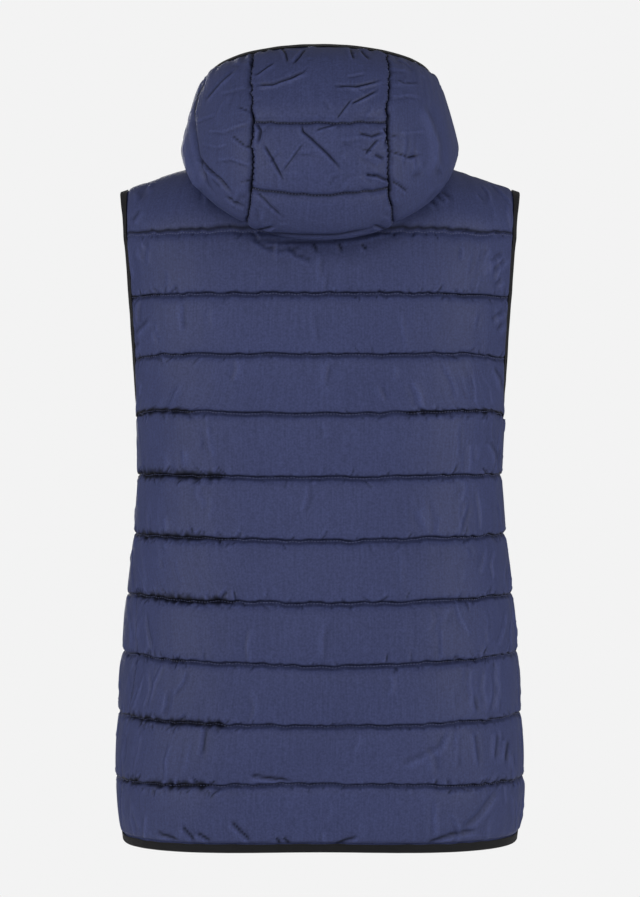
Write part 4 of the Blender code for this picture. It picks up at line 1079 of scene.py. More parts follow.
def line_crowd(grid, face):
    """For each point, how crowded the nearest stitch line's cloth is and how much painted shade its lower
    edge gets.
    """
    shape = grid["free"].shape
    if face != "back":
        return np.full(shape, FRONT_CROWD), np.full(shape, FRONT_LOWER_EDGE)
    x, _ = photo_place(grid["points"])
    lines = np.clip(np.round(grid["labels"]).astype(int), 1, len(QUILT_LINES))
    looks = np.array(LINE_LOOKS)[len(QUILT_LINES) - lines]
    left_end, left, right_start, right, lower = (looks[:, k, None] for k in range(len(LINE_LOOK_COLUMNS)))
    crowd = MIDDLE_CROWD + (left - MIDDLE_CROWD) * smooth_step((left_end - x) / CROWD_FADE + 0.5)
    crowd += (right - MIDDLE_CROWD) * smooth_step((x - right_start) / CROWD_FADE + 0.5)
    return crowd, lower + np.zeros(shape)


def line_shift(grid, face, rng):
    """Sideways moves of a quilted panel: its lines waver, and each channel's lip hangs over its line."""
    labels, (_, columns) = grid["labels"], grid["runs"]
    shape = grid["free"].shape
    lines = np.clip(np.round(labels).astype(int), 0, len(QUILT_LINES) + 1)
    count = lines.max() + 1

    def noise_along(cell):
        return soft_noise(rng, (count, shape[1]), (count, columns[-1] / cell))

    waver = noise_along(WAVER_CELL) * LINE_WAVER
    waver += noise_along(JITTER_CELL) * LINE_JITTER
    from_line = np.abs(labels - lines) * CHANNEL_LENGTH
    quilted = (labels > 1.5) & (labels < len(QUILT_LINES) + 0.5)
    waver = waver[lines] * (bell(from_line, WAVER_REACH) * quilted)[:, None]
    crowd, lower = line_crowd(grid, face)
    uneven = noise_along(HANG_CELL)[lines]
    jagged = noise_along(JAG_CELL)[lines]
    hang = LIP_HANG * np.clip(crowd + (HANG_UNEVEN + HANG_UNEVEN * crowd) * uneven, 0, MOST_HANG)
    lip = bell(from_line - LIP_MIDDLE, LIP_HALF) * (labels > lines) * quilted
    upward = unit(np.gradient(grid["points"], axis=0))
    signed = ((labels - lines) * CHANNEL_LENGTH)[:, None]
    # The rest paints shade into the colour: dark bands at the crevices above and below each line, on the
    # floor between, and under a hanging lip
    over = np.clip((crowd - OVER_START) / OVER_RAMP + OVER_UNEVEN * uneven, 0, MOST_OVER)
    ruffled = np.clip(1 + JAG_WIDTH * jagged, *JAG_WIDTHS)
    broken = np.clip(BROKEN_MEAN + BROKEN_SPREAD * jagged, BROKEN_LEAST, 1)
    hang_half = CREVICE_HANG_HALF * np.maximum(over * ruffled, LEAST_OVER)
    edges = (
        np.where(lower > 0, broken, THIN_LINE) * bell(signed - CREVICE_UP, CREVICE_HALF),
        lower * broken * bell(signed - CREVICE_DOWN, CREVICE_HALF),
        CREVICE_FLOOR * (lower > 0) * bell(signed, CREVICE_UP, 4),
        bell(signed - CREVICE_HANG_MIDDLE, hang_half, 4) * smooth_step(over / OVER_FADE),
    )
    grid["hollow"] = np.maximum.reduce([edge + np.zeros(shape) for edge in edges]) * quilted[:, None]
    return upward * ((waver - hang * lip[:, None]) * grid["edge"])[..., None]


def hood_shift(grid, side):
    """Sideways moves of a hood panel: the strip's two seams and its cross lines waver."""
    labels, (rows, columns) = grid["labels"], grid["runs"]
    along = unit(np.gradient(grid["points"], axis=1))
    upward = unit(np.gradient(grid["points"], axis=0))
    shift = np.zeros(grid["points"].shape)
    places = np.arange(HOOD_PLAIN_RING, HOOD_PLAIN_RING + HOOD_WAVER_RINGS, HOOD_WAVER_STEP)
    hung = smooth_step((labels - HOOD_PLAIN_RING - HOOD_WAVER_START) / HOOD_WAVER_RAMP)
    hung = hung * smooth_step((labels[-1] - labels) / HOOD_WAVER_END)
    for seam in ((0, 1) if side == 0 else (0,) if side > 0 else (1,)):
        rng = np.random.default_rng(HOOD_SEAM_SEED + seam)
        waver = np.interp(labels, places, rng.uniform(-1, 1, len(places))) * hung
        at = columns[0] if (side < 0 or (side == 0 and seam == 0)) else columns[-1]
        reach = bell(columns - at, HOOD_WAVER_REACH)
        shift += along * (HOOD_WAVER * waver[:, None] * reach[None])[..., None]
    if side == 0:
        rng = np.random.default_rng(HOOD_LINE_SEED)
        for line in grid["lines"]:
            stations = np.linspace(columns[0], columns[-1], HOOD_LINE_STATIONS)
            waver = np.interp(columns, stations, rng.uniform(-1, 1, len(stations)))
            waver *= smooth_step(np.minimum(columns, columns[-1] - columns) / HOOD_LINE_END)
            reach = bell(rows - rows[line], HOOD_LINE_REACH)
            shift += upward * (HOOD_LINE_WAVER * waver[None] * reach[:, None])[..., None]
    return shift


def trough(across, down, path, width):
    """A crease along a path, -1 on it: a soft ridge stands on one side, and both ends fade out."""
    path = np.array(path, float)
    reach = width * CREASE_REACH
    low, high = path.min(axis=0) - reach, path.max(axis=0) + reach
    near = (across > low[0]) & (across < high[0]) & (down > low[1]) & (down < high[1])
    lift = np.zeros(across.shape)
    points = np.stack([across[near], down[near]], axis=-1)
    nearest = np.full(len(points), np.inf)
    along, side, run = np.zeros(len(points)), np.zeros(len(points)), 0.0
    for start, step in zip(path[:-1], np.diff(path, axis=0)):
        length = np.linalg.norm(step)
        offset = points - start
        share = np.clip(offset @ step / length**2, 0, 1)
        distance = np.linalg.norm(offset - share[:, None] * step, axis=-1)
        closer = distance < nearest
        nearest = np.where(closer, distance, nearest)
        along = np.where(closer, run + share * length, along)
        side = np.where(closer, step[0] * offset[:, 1] - step[1] * offset[:, 0], side)
        run += length
    share = along / run
    fade = smooth_step(share / CREASE_START_FADE) * smooth_step((1 - share) / CREASE_END_FADE)
    deep = bell(nearest, width)
    ridge = RIDGE_HEIGHT * bell(nearest - RIDGE_MIDDLE * width, RIDGE_HALF * width) * (side > 0)
    lift[near] = (ridge - deep) * fade
    return lift


def press(grid, lift, across, down, path, width, depth, sharp):
    """Lays one crease on a grid's lift; a sharp one also paints shade into its own bottom."""
    made = trough(across, down, path, width)
    lift += depth * made
    full = min(abs(depth) / PAINTED_SHADE_FULL_DEPTH, 1)
    rise = made if depth > 0 else -made
    shade = np.clip(-rise, 0, 1) ** 2 * full * sharp
    np.maximum(grid["hollow"], shade, out=grid["hollow"])
    # Ridge mask that takes the painted highlight
    np.maximum(grid["ridge"], np.clip(PAINTED_HIGHLIGHT_GAIN * rise, 0, 1) * full, out=grid["ridge"])


def grown(gain, share):
    """A least value with its gain by a share."""
    return gain[0] + gain[1] * share


def pucker_lift(grid, face, rng):
    """Small slanting puckers along the stitch lines, close at the sides and sparse in the middle."""
    rows, columns = grid["runs"]
    across, down = np.meshgrid(columns, rows)
    crowds, _ = line_crowd(grid, face)
    lift = np.zeros(across.shape)
    for line in grid["lines"]:
        crowd = crowds[line]
        place = rng.uniform(0, PUCKER_FIRST)
        while place < columns[-1]:
            share = np.interp(place, columns, crowd)
            way = 1 if rng.random() < UPWARD_SHARE else -1
            length = np.clip(rng.gamma(*PUCKER_GAMMA), *PUCKER_LENGTH)
            slant = np.clip(rng.normal(0, PUCKER_LEAN), -PUCKER_SLANT, PUCKER_SLANT)
            bend = rng.normal(0, PUCKER_BEND)
            path = [
                (place, rows[line] + way * PUCKER_START),
                (place + slant * length * 0.5 + bend * length * PUCKER_BOW, rows[line] + way * length * 0.5),
                (place + slant * length, rows[line] + way * length),
            ]
            depth = rng.uniform(*PUCKER_DEPTH) * grown(PUCKER_DEPTH_GAIN, share)
            press(grid, lift, across, down, path, rng.uniform(*PUCKER_WIDTH), depth, PUCKER_SHADE)
            place += rng.exponential(PUCKER_SPACING / grown(PUCKER_RATE_GAIN, share))
        place = rng.uniform(0, RUFFLE_SPACING)
        while place < columns[-1]:
            share = np.interp(place, columns, crowd)
            if rng.random() < grown(RUFFLE_CHANCE_GAIN, share**CHANCE_POWER):
                way = 1 if rng.random() < UPWARD_SHARE else -1
                length = rng.uniform(*RUFFLE_LENGTH) * grown(RUFFLE_LENGTH_GAIN, share)
                slant = rng.uniform(-RUFFLE_LEAN, RUFFLE_LEAN)
                start = rows[line] + way * grown(RUFFLE_START_GAIN, share)
                path = [(place, start), (place + slant * length, start + way * length)]
                press(grid, lift, across, down, path, RUFFLE_WIDTH, rng.uniform(*RUFFLE_DEPTH), RUFFLE_SHADE)
            place += rng.uniform(*RUFFLE_STEPS) * RUFFLE_SPACING
    return lift * grid["edge"]


def photo_creases(grid, creases, least_width):
    """Creases laid on a grid by their paths in the photograph, on the side that faces its camera."""
    x, y = photo_place(grid["points"] + grid["normals"] * grid["thickness"][..., None])
    facing = smooth_step((grid["normals"][..., 1] - FACING_START) / FACING_RAMP)
    lift = np.zeros(x.shape)
    for path, width, depth in creases:
        # Narrow creases paint more shade into their bottoms
        sharp = min(MOST_PAINTED_SHADE, (PAINTED_SHADE_WIDTH / width) ** PAINTED_SHADE_POWER)
        laid_width = max(CREASE_WIDTH_SHARE * width, least_width)
        press(grid, lift, x, y, path, laid_width, CREASE_DEPTH_UNIT * depth, sharp)
    return lift * facing * grid["edge"]


def end_wrinkles(grid, rng):
    """Upright wrinkles in both ends of each channel."""
    rows, columns = grid["runs"]
    across, down = np.meshgrid(columns, rows)
    lift = np.zeros(across.shape)
    lines = sorted({0, *grid["lines"], len(rows) - 1})
    for low, high in zip(rows[lines[:-1]], rows[lines[1:]]):
        for end in (0, 1):
            for _ in range(rng.integers(*WRINKLES_PER_END)):
                inward = min(rng.exponential(WRINKLE_REACH / 2), columns[-1] / 2)
                place = inward if end == 0 else columns[-1] - inward
                length = min(rng.uniform(*WRINKLE_LENGTH), (high - low) * WRINKLE_MOST_SHARE)
                start = rng.uniform(low, max(low, high - length))
                lean = rng.normal(0, WRINKLE_LEAN)
                bend = rng.normal(0, WRINKLE_BEND)
                path = [
                    (place, start),
                    (place + (lean / 2 + bend) * length, start + length / 2),
                    (place + lean * length, start + length),
                ]
                depth = rng.uniform(*WRINKLE_DEPTH) * rng.choice(WRINKLE_SIGNS)
                press(grid, lift, across, down, path, rng.uniform(*WRINKLE_WIDTH), depth, WRINKLE_SHADE)
    return lift * grid["edge"]


def hood_wrinkles(grid, rng):
    """Short wrinkles strewn over a hood panel, mostly level, finer and shallower than the main creases."""
    rows, columns = grid["runs"]
    across, down = np.meshgrid(columns, rows)
    lift = np.zeros(across.shape)
    low = rows[np.searchsorted(grid["labels"], HOOD_PLAIN_RING)]
    for _ in range(HOOD_WRINKLES):
        place = rng.uniform(0, columns[-1])
        height = rng.uniform(low, rows[-1] - EDGE_BAND)
        length = rng.uniform(*HOOD_WRINKLE_LENGTH)
        turn = rng.normal(0, HOOD_WRINKLE_TURN)
        bend = rng.normal(0, HOOD_WRINKLE_BEND) * length
        step = np.array([math.cos(turn), math.sin(turn)]) * length
        path = [
            (place, height),
            (place + step[0] / 2 - bend * math.sin(turn), height + step[1] / 2 + bend * math.cos(turn)),
            (place + step[0], height + step[1]),
        ]
        depth = rng.uniform(*HOOD_WRINKLE_DEPTH) * rng.choice(HOOD_WRINKLE_SIGNS)
        press(grid, lift, across, down, path, rng.uniform(*HOOD_WRINKLE_WIDTH), depth, HOOD_WRINKLE_SHADE)
    return lift * grid["edge"]


def uneven_lift(grid, rng):
    """Broad soft unevenness of the padding."""
    rows, columns = grid["runs"]
    cells = (rows[-1] / UNEVEN_CELLS[0], columns[-1] / UNEVEN_CELLS[1])
    return soft_noise(rng, grid["free"].shape, cells) * UNEVEN_HEIGHT * grid["edge"]


def gather_lift(grid, rng):
    """Gathers that the elastic draws up beside the hood's face edge."""
    rows, columns = grid["runs"]
    shape = grid["free"].shape
    wave = soft_noise(rng, shape, (rows[-1] / GATHER_ROW_CELL, columns[-1] / GATHER_CELL))
    clear = np.maximum(rows[-1] - rows - EDGE_BAND, 0)
    reach = np.exp(-clear / GATHER_REACH) * smooth_step(clear / BOUND_RAMP)
    return wave * GATHER_HEIGHT * reach[:, None]


def hood_hollow(grid, side):
    """Painted shade in the crevices of a hood panel: beside the strip's seams and, on the strip, at its cross
    lines.
    """
    rows, columns = grid["runs"]
    hollow = np.zeros(grid["free"].shape)
    seams = {0: (0, columns[-1]), 1: (columns[-1],), -1: (0,)}[side]
    for seam in seams:
        hollow = np.maximum(hollow, bell(columns - seam, HOOD_SEAM_HALF)[None])
    if side == 0:
        for line in grid["lines"]:
            hollow = np.maximum(hollow, bell(rows - rows[line], HOOD_LINE_HALF)[:, None])
    return hollow * smooth_step((grid["labels"] - HOOD_PLAIN_RING) / 0.3)[:, None]


def painted_shade_and_highlight(grid):
    """Painted shading of an outside: painted shade in its hollows, up to 1, or a painted highlight below 0 on
    its ridges.
    """
    hollow = np.clip(grid["hollow"], 0, 1)
    return hollow - PAINTED_RIDGE_HIGHLIGHT * grid["ridge"] * (1 - hollow)


def laid_on(grid, outer, lift):
    """Moves an outside by its creases, never into the cloth's own inside."""
    height = np.sum((outer - grid["points"]) * grid["normals"], axis=-1)
    raised = np.maximum(height + lift, LEAST_THICKNESS)
    return outer + grid["normals"] * (raised - height)[..., None]


def photo_place(points):
    """Where points fall in the photograph's frame, in its pixels."""
    scale = PIXELS_PER_METRE * CAMERA_DISTANCE / (CAMERA_DISTANCE - points[..., 1])
    x = PHOTO_SIZE[0] / 2 - points[..., 0] * scale
    y = PHOTO_SIZE[1] / 2 - (points[..., 2] - CAMERA_HEIGHT) * scale
    return x, y


def panel_excess(grid):
    """Spare cloth beside the stitch lines, more at the sides than in the middle."""
    x = grid["points"][..., 0]
    side = smooth_step((np.abs(x) - EXCESS_SIDE_START) / EXCESS_SIDE_RAMP)
    amount = EXCESS_MIDDLE + (EXCESS_SIDE - EXCESS_MIDDLE) * side
    near_line = np.abs(2 * grid["share"] - 1) ** EXCESS_LINE_POWER
    return amount * grown(EXCESS_LINE_GAIN, near_line[:, None])


def hood_excess(grid):
    near_edge = smooth_step(1 - grid["share"] / EXCESS_EDGE_SHARE)[:, None]
    return EXCESS_HOOD * grown(EXCESS_EDGE_GAIN, near_edge) + np.zeros(grid["free"].shape)


def shell_mesh(name, outer, inner, runs, normals, hollow):
    """A closed padded wall: the fine outside, a plainer inside and rims between them, with lengths as UVs."""
    rows, columns = outer.shape[:2]
    keep_rows = sorted(set(range(0, rows, LINING_STRIDE)) | {rows - 1})
    keep_columns = sorted(set(range(0, columns, LINING_STRIDE)) | {columns - 1})
    lining = inner[np.ix_(keep_rows, keep_columns)]
    index = np.arange(rows * columns).reshape(rows, columns)
    under = rows * columns + np.arange(lining.shape[0] * lining.shape[1]).reshape(lining.shape[:2])
    around = np.cross(outer[:, 1:] - outer[:, :-1], np.gradient(outer, axis=0)[:, :-1])
    flipped = np.sum(around * normals[:, :-1]) < 0
    faces = [quads(index, flipped), quads(under, not flipped)]
    rims = []
    for cut, line, edge in (
        (keep_columns, index[0], under[0]),
        (keep_columns, index[-1], under[-1]),
        (keep_rows, index[:, 0], under[:, 0]),
        (keep_rows, index[:, -1], under[:, -1]),
    ):
        for k in range(len(cut) - 1):
            rims.append([*line[cut[k] : cut[k + 1] + 1], edge[k + 1], edge[k]])
    polygons = np.concatenate(faces).tolist() + [[int(i) for i in rim] for rim in rims]
    points = np.concatenate([outer.reshape(-1, 3), lining.reshape(-1, 3)])
    across, down = np.meshgrid(runs[1], runs[0])
    flat = np.stack([across, down], axis=-1)
    flat = np.concatenate([flat.reshape(-1, 2), flat[np.ix_(keep_rows, keep_columns)].reshape(-1, 2)])
    mesh = mesh_from(name, points, polygons, flat, recalc=True)
    # Painted shade in the hollows and painted highlight on the ridges, kept as a point attribute that scales
    # the colour
    shade = mesh.attributes.new("hollow", "FLOAT", "POINT")
    values = np.zeros(len(points), np.float32)
    values[: rows * columns] = hollow.ravel()
    shade.data.foreach_set("value", values)
    return mesh


def quads(index, flipped):
    """Faces of a grid of point numbers."""
    corners = [index[:-1, :-1], index[:-1, 1:], index[1:, 1:], index[1:, :-1]]
    corners = corners[::-1] if flipped else corners
    return np.stack(corners, axis=-1).reshape(-1, 4)


def mesh_from(name, points, polygons, flat=None, recalc=False):
    """A smooth mesh, with UVs in metres where flat gives them for each point."""
    mesh = bpy.data.meshes.new(name)
    mesh.from_pydata(np.asarray(points).tolist(), [], polygons)
    if recalc:
        shape = bmesh.new()
        shape.from_mesh(mesh)
        bmesh.ops.recalc_face_normals(shape, faces=shape.faces)
        shape.to_mesh(mesh)
        shape.free()
    if flat is not None:
        corners = np.empty(len(mesh.loops), np.int32)
        mesh.loops.foreach_get("vertex_index", corners)
        layer = mesh.uv_layers.new(name="lengths")
        layer.uv.foreach_set("vector", np.asarray(flat)[corners].ravel().astype(np.float32))
    mesh.shade_smooth()
    mesh.set_sharp_from_angle(angle=math.radians(80))
    return mesh


def add_piece(mesh, finish, body, nodes=()):
    """A piece of the part: its object, finish, body, slot and the nodes that it stands for."""
    piece = bpy.data.objects.new(mesh.name, mesh)
    bpy.context.scene.collection.objects.link(piece)
    mesh.materials.append(finish)
    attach(piece, body)
    if nodes:
        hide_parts(*nodes)
    return piece


def tube_faces(rings, sides, count):
    """Faces of many alike tubes, each of so many rings of points."""
    first = np.arange(rings - 1)[:, None] * sides
    low, after = first + np.arange(sides), first + (np.arange(sides) + 1) % sides
    template = np.stack([low, after, after + sides, low + sides], axis=-1).reshape(-1, 4)
    return (template + (np.arange(count) * rings * sides)[:, None, None]).reshape(-1, 4)


def strip_faces(count, sides, looped=False):
    """Faces of a closed section swept along a line, capped at both ends unless it is a loop."""
    index = np.arange(count * sides).reshape(count, sides)
    index = np.concatenate([index, index[:, :1]], axis=1)
    if looped:
        return quads(np.concatenate([index, index[:1]]), False).tolist()
    return quads(index, False).tolist() + [index[0, :-1].tolist(), index[-1, -2::-1].tolist()]


def stitch_parts(line, normals, lift):
    """(points, faces) of the threads sewn along a line, each with its ends drawn into the cloth."""
    run = line_run(line)
    count = max(1, int(run[-1] / STITCH_PITCH))
    middle = (np.arange(count) + 0.5) * run[-1] / count

    def on_line(values, at):
        return np.stack([np.interp(at, run, values[:, axis]) for axis in range(3)], axis=-1)

    along = unit(on_line(line, middle + STITCH_LENGTH / 2) - on_line(line, middle - STITCH_LENGTH / 2))
    out = unit(on_line(normals, middle))
    side = unit(np.cross(along, out))
    out = np.cross(side, along)
    centre = on_line(line, middle) + out * lift
    points = []
    for share, width, raised in THREAD_RINGS:
        spine = centre + along * (share * STITCH_LENGTH) + out * (raised * STITCH_RADIUS)
        for k in range(THREAD_SIDES):
            turn = 2 * math.pi * k / THREAD_SIDES
            points.append(spine + (out * math.cos(turn) + side * math.sin(turn)) * width * STITCH_RADIUS)
    points = np.stack(points, axis=1)
    return points.reshape(-1, 3), tube_faces(len(THREAD_RINGS), THREAD_SIDES, count)


def stitch_mesh(name, lines):
    """One mesh of the threads along several lines, given as (points, outward directions, lift)."""
    points, faces, offset = [], [], 0
    for line, normals, lift in lines:
        new_points, new_faces = stitch_parts(line, normals, lift)
        points.append(new_points)
        faces.append(new_faces + offset)
        offset += len(new_points)
    return mesh_from(name, np.concatenate(points), np.concatenate(faces).tolist())


def binding_outline():
    """The U section of a binding: (outward, upward) points round the rounded fold and back inside."""
    gap, wall = BINDING_GAP, BINDING_WALL
    low, high = -gap - wall, SEAM_THICKNESS + gap + wall
    front = gap + wall
    nose = BINDING_NOSE
    outer = [(share * -BINDING_COVER + (1 - share) * (front - nose), low) for share in (1, 0.8, 0.5, 0.2)]
    for turn in np.linspace(-90, 0, 5):
        angle = math.radians(turn)
        outer.append((front - nose + nose * math.cos(angle), low + nose + nose * math.sin(angle)))
    outer += [(x, low + high - y) for x, y in outer[::-1]]
    inner = [(-BINDING_COVER, high - wall), (gap, high - wall)]
    inner += [(gap, low + wall), (-BINDING_COVER, low + wall)]
    return np.array(outer + inner)


def binding_mesh(name, edge, inward, normals, rng, looped=False):
    """A folded elastic strip along an edge, drawn in unevenly by its own stretch."""
    edge, inward, normals = dense_line(edge, inward, normals, looped)
    normals = square_out(inward, normals)
    outline = binding_outline()
    count = len(edge)
    run = line_run(edge)
    wave = soft_noise(rng, (count, 2), (run[-1] / BINDING_WAVE_CELL, 1))
    on_cloth = (outline[:, 0] < 0)[None, :, None]
    out = outline[:, 0][None, :, None] * (1 + BINDING_DRAW * wave[:, :1, None] * on_cloth)
    middle = SEAM_THICKNESS / 2
    up = middle + (outline[:, 1] - middle)[None, :, None] * (1 + BINDING_SWELL * wave[:, 1:, None])
    points = edge[:, None] - inward[:, None] * out + normals[:, None] * up
    if looped:
        points = points[:-1]
        count -= 1
    faces = strip_faces(count, len(outline), looped)
    across = line_run(outline)
    flat = np.stack(np.meshgrid(across, run[:count]), axis=-1).reshape(-1, 2)
    mesh = mesh_from(name, points.reshape(-1, 3), faces, flat, recalc=True)
    return mesh, (float(across[BINDING_FLAT_POINT]), float(run[-1]))


def dense_line(edge, inward, normals, looped):
    """Finer stations along an edge, on cubic spans; a loop ends where it began."""
    lines = [edge, inward, normals]
    if looped:
        lines = [np.concatenate([line[-3:], line, line[:4]]) for line in lines]
    run = line_run(lines[0])
    low, high = (run[3], run[-4]) if looped else (0, run[-1])
    at = np.linspace(low, high, round((high - low) / BINDING_STEP) + 1)
    fine = [smooth_table(run, line, at) for line in lines]
    return fine[0], unit(fine[1]), unit(fine[2])


def square_out(inward, normals):
    return unit(normals - inward * np.sum(inward * normals, axis=-1, keepdims=True))


def armhole_line(back, front):
    """Coarse edge, inward and outward directions round an armhole, from the underarm up the back."""
    start = back["seam_rows"] - 1
    parts = []
    for panel in (back, front):
        edge = panel["points"][start:, 0]
        inward = unit(panel["points"][start:, 1] - edge)
        parts.append((edge, inward, panel["normals"][start:, 0]))
    edge, inward, normals = (np.concatenate([one, two[-2:0:-1]]) for one, two in zip(*parts))
    inward[0] = unit(back["points"][start - 1, 0] - edge[0])
    edge[len(parts[0][0]) - 1, 1] = 0
    return edge, inward, normals


def hem_line(left, back, right):
    """Coarse edge, inward and outward directions along the hem, from zip edge to zip edge."""
    rows = []
    for row in (0, 1):
        parts = [left["points"][row, ::-1], back["points"][row, 1:-1], right["points"][row]]
        rows.append(np.concatenate(parts))
    normals = np.concatenate([left["normals"][0, ::-1], back["normals"][0, 1:-1], right["normals"][0]])
    return rows[0], unit(rows[1] - rows[0]), normals


def zip_line(front, points, normals):
    """Edge points, band points and outward directions beside the zip, from the hem to the face edge."""
    edge = np.concatenate([front["points"][:, -1], points[1:, 0]])
    band = np.concatenate([front["points"][:, -2], points[1:, 1]])
    out = np.concatenate([front["normals"][:, -1], normals[1:, 0]])
    band_out = np.concatenate([front["normals"][:, -2], normals[1:, 1]])
    return edge, band, out, band_out


def tape_mesh(name, line, side):
    """A flat zip tape on the inside of a front edge, clear of the hem and hood bindings."""
    edge, band, out, band_out = (part[1:-1] for part in line)
    inner = edge.copy()
    inner[:, 0] = TAPE_INNER
    run = line_run(edge)
    at = np.linspace(0, run[-1], round(run[-1] / TAPE_STEP) + 1)
    inner, band, out, band_out = (smooth_table(run, part, at) for part in (inner, band, out, band_out))
    shares = np.linspace(0, 1, TAPE_COLUMNS)
    across = inner[:, None] + (band - inner)[:, None] * shares[None, :, None]
    outs = unit(out[:, None] + (band_out - out)[:, None] * shares[None, :, None])
    front = across - outs * SEAM_GAP
    back = across + outs * TAPE_BACK
    points = np.concatenate([back, front[:, ::-1]], axis=1) * np.array([side, 1, 1])
    faces = strip_faces(*points.shape[:2])
    width = float(np.mean(np.linalg.norm(band - inner, axis=-1)))
    places = np.concatenate([shares, shares[::-1]]) * width
    flat = np.stack(np.meshgrid(places, at), axis=-1).reshape(-1, 2)
    return mesh_from(name, points.reshape(-1, 3), faces, flat, recalc=True), (width, float(run[-1]))


def coil_mesh(name, line):
    """The closed zip chain: two rows of coil teeth that reach over the middle in turn."""
    edge, _, out, _ = line
    flat = np.array([0, 1, 1])
    middle, out = edge * flat, unit(out * flat)
    run = line_run(middle)
    low = EDGE_BAND + BOX_LENGTH + COIL_CLEAR_BOX
    high = run[-1] - SLIDER_BELOW_EDGE + SLIDER_HALF_LENGTH - SLIDER_POST_LENGTH
    high = high - SLIDER_CLEAR - COIL_CLEAR_SLIDER
    at = np.arange(low, high, COIL_PITCH / 2)
    centre = smooth_table(run, middle, at)
    direction = unit(smooth_table(run, out, at))
    side = np.where(np.arange(len(at)) % 2 == 0, 1.0, -1.0)
    wide = np.array([1.0, 0, 0])
    along = np.cross(np.broadcast_to(wide, direction.shape), direction)
    points = []
    for reach, width in COIL_RINGS:
        spine = centre + (side * reach)[:, None] * wide
        for k in range(COIL_SIDES):
            turn = 2 * math.pi * k / COIL_SIDES
            offset = along * (math.cos(turn) * COIL_HALF_LENGTH)
            offset = offset + direction * (math.sin(turn) * COIL_HALF_DEPTH)
            points.append(spine + offset * width + direction * COIL_RAISED)
    points = np.stack(points, axis=1)
    faces = tube_faces(len(COIL_RINGS), COIL_SIDES, len(at)).tolist()
    return mesh_from(name, points.reshape(-1, 3), faces, recalc=True)


def bevelled_copy(name, node, width):
    """A copy of a hard node with its edges rounded."""
    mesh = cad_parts[node].data.copy()
    mesh.name = name
    mesh.materials.clear()
    shape = bmesh.new()
    shape.from_mesh(mesh)
    bmesh.ops.remove_doubles(shape, verts=shape.verts, dist=1e-6)
    bmesh.ops.dissolve_limit(shape, angle_limit=0.02, verts=shape.verts, edges=shape.edges)
    sharp = [edge for edge in shape.edges if len(edge.link_faces) == 2 and edge.calc_face_angle(0) > 0.4]
    rounding = {"segments": 2, "profile": 0.5, "affect": "EDGES", "clamp_overlap": True}
    bmesh.ops.bevel(shape, geom=sharp, offset=width, **rounding)
    shape.to_mesh(mesh)
    shape.free()
    mesh.shade_smooth()
    mesh.set_sharp_from_angle(angle=math.radians(50))
    return mesh


class Finish:
    """A procedural material, built node by node."""

    def __init__(self, name, colour, roughness, metallic=0.0, specular=0.5):
        self.made = bpy.data.materials.new(name)
        self.made.use_nodes = True
        self.tree = self.made.node_tree
        self.shader = self.tree.nodes["Principled BSDF"]
        self.shader.inputs["Base Color"].default_value = (*colour, 1)
        self.shader.inputs["Roughness"].default_value = roughness
        self.shader.inputs["Metallic"].default_value = metallic
        self.shader.inputs["Specular IOR Level"].default_value = specular
        self.colour = colour
        self.bump_chain = None

    def node(self, kind, **inputs):
        made = self.tree.nodes.new(kind)
        for key, value in inputs.items():
            made.inputs[key].default_value = value
        return made

    def link(self, source, target):
        self.tree.links.new(source, target)

    def places(self, kind, scale):
        """Texture places: UV lengths in metres or the object's own frame, scaled."""
        coordinates = self.node("ShaderNodeTexCoord")
        mapping = self.node("ShaderNodeMapping", Scale=scale)
        self.link(coordinates.outputs[kind], mapping.inputs["Vector"])
        return mapping.outputs["Vector"]

    def noise(self, kind, scale, detail=2.0):
        made = self.node("ShaderNodeTexNoise", Scale=1.0, Detail=detail, Roughness=0.55)
        self.link(self.places(kind, scale), made.inputs["Vector"])
        return made.outputs["Fac"]

    def wave(self, kind, scale, direction):
        made = self.node("ShaderNodeTexWave", Scale=1.0, Distortion=0.6, Detail=1.0)
        made.bands_direction = direction
        made.inputs["Detail Scale"].default_value = 0.5
        self.link(self.places(kind, scale), made.inputs["Vector"])
        return made.outputs["Fac"]

    def ramp(self, factor, low, high, start=0.0, end=1.0):
        """A value that runs from low to high as a factor runs from start to end."""
        made = self.node("ShaderNodeMapRange")
        for key, value in (("From Min", start), ("From Max", end), ("To Min", low), ("To Max", high)):
            made.inputs[key].default_value = value
        self.link(factor, made.inputs["Value"])
        return made

    def scaled(self, source, ramp):
        """The base colour, or another node's colour, scaled by a ramp."""
        made = self.node("ShaderNodeVectorMath")
        made.operation = "SCALE"
        if source is None:
            made.inputs[0].default_value = self.colour
        else:
            self.link(source, made.inputs[0])
        self.link(ramp.outputs["Result"], made.inputs["Scale"])
        return made.outputs["Vector"]

    def tint(self, layers):
        """Colour that varies: each layer is (factor, spread), as a share either way of the base colour."""
        source = None
        for factor, spread in layers:
            source = self.scaled(source, self.ramp(factor, 1 - spread, 1 + spread, *TINT_RANGE))
        self.link(source, self.shader.inputs["Base Color"])

    def shade(self, attribute, darkest):
        """Scales the colour by a point attribute: painted shade in the cloth's hollows, a painted highlight
        on its ridges.
        """
        source = self.shader.inputs["Base Color"].links[0].from_socket
        values = self.node("ShaderNodeAttribute")
        values.attribute_name = attribute
        ramp = self.ramp(values.outputs["Fac"], 1.0, darkest)
        ramp.clamp = False
        self.link(self.scaled(source, ramp), self.shader.inputs["Base Color"])

    def rough(self, factor, low, high):
        self.link(self.ramp(factor, low, high).outputs["Result"], self.shader.inputs["Roughness"])

    def bump(self, factor, strength, distance):
        made = self.node("ShaderNodeBump", Strength=strength, Distance=distance)
        self.link(factor, made.inputs["Height"])
        if self.bump_chain is not None:
            self.link(self.bump_chain, made.inputs["Normal"])
        self.bump_chain = made.outputs["Normal"]
        self.link(self.bump_chain, self.shader.inputs["Normal"])


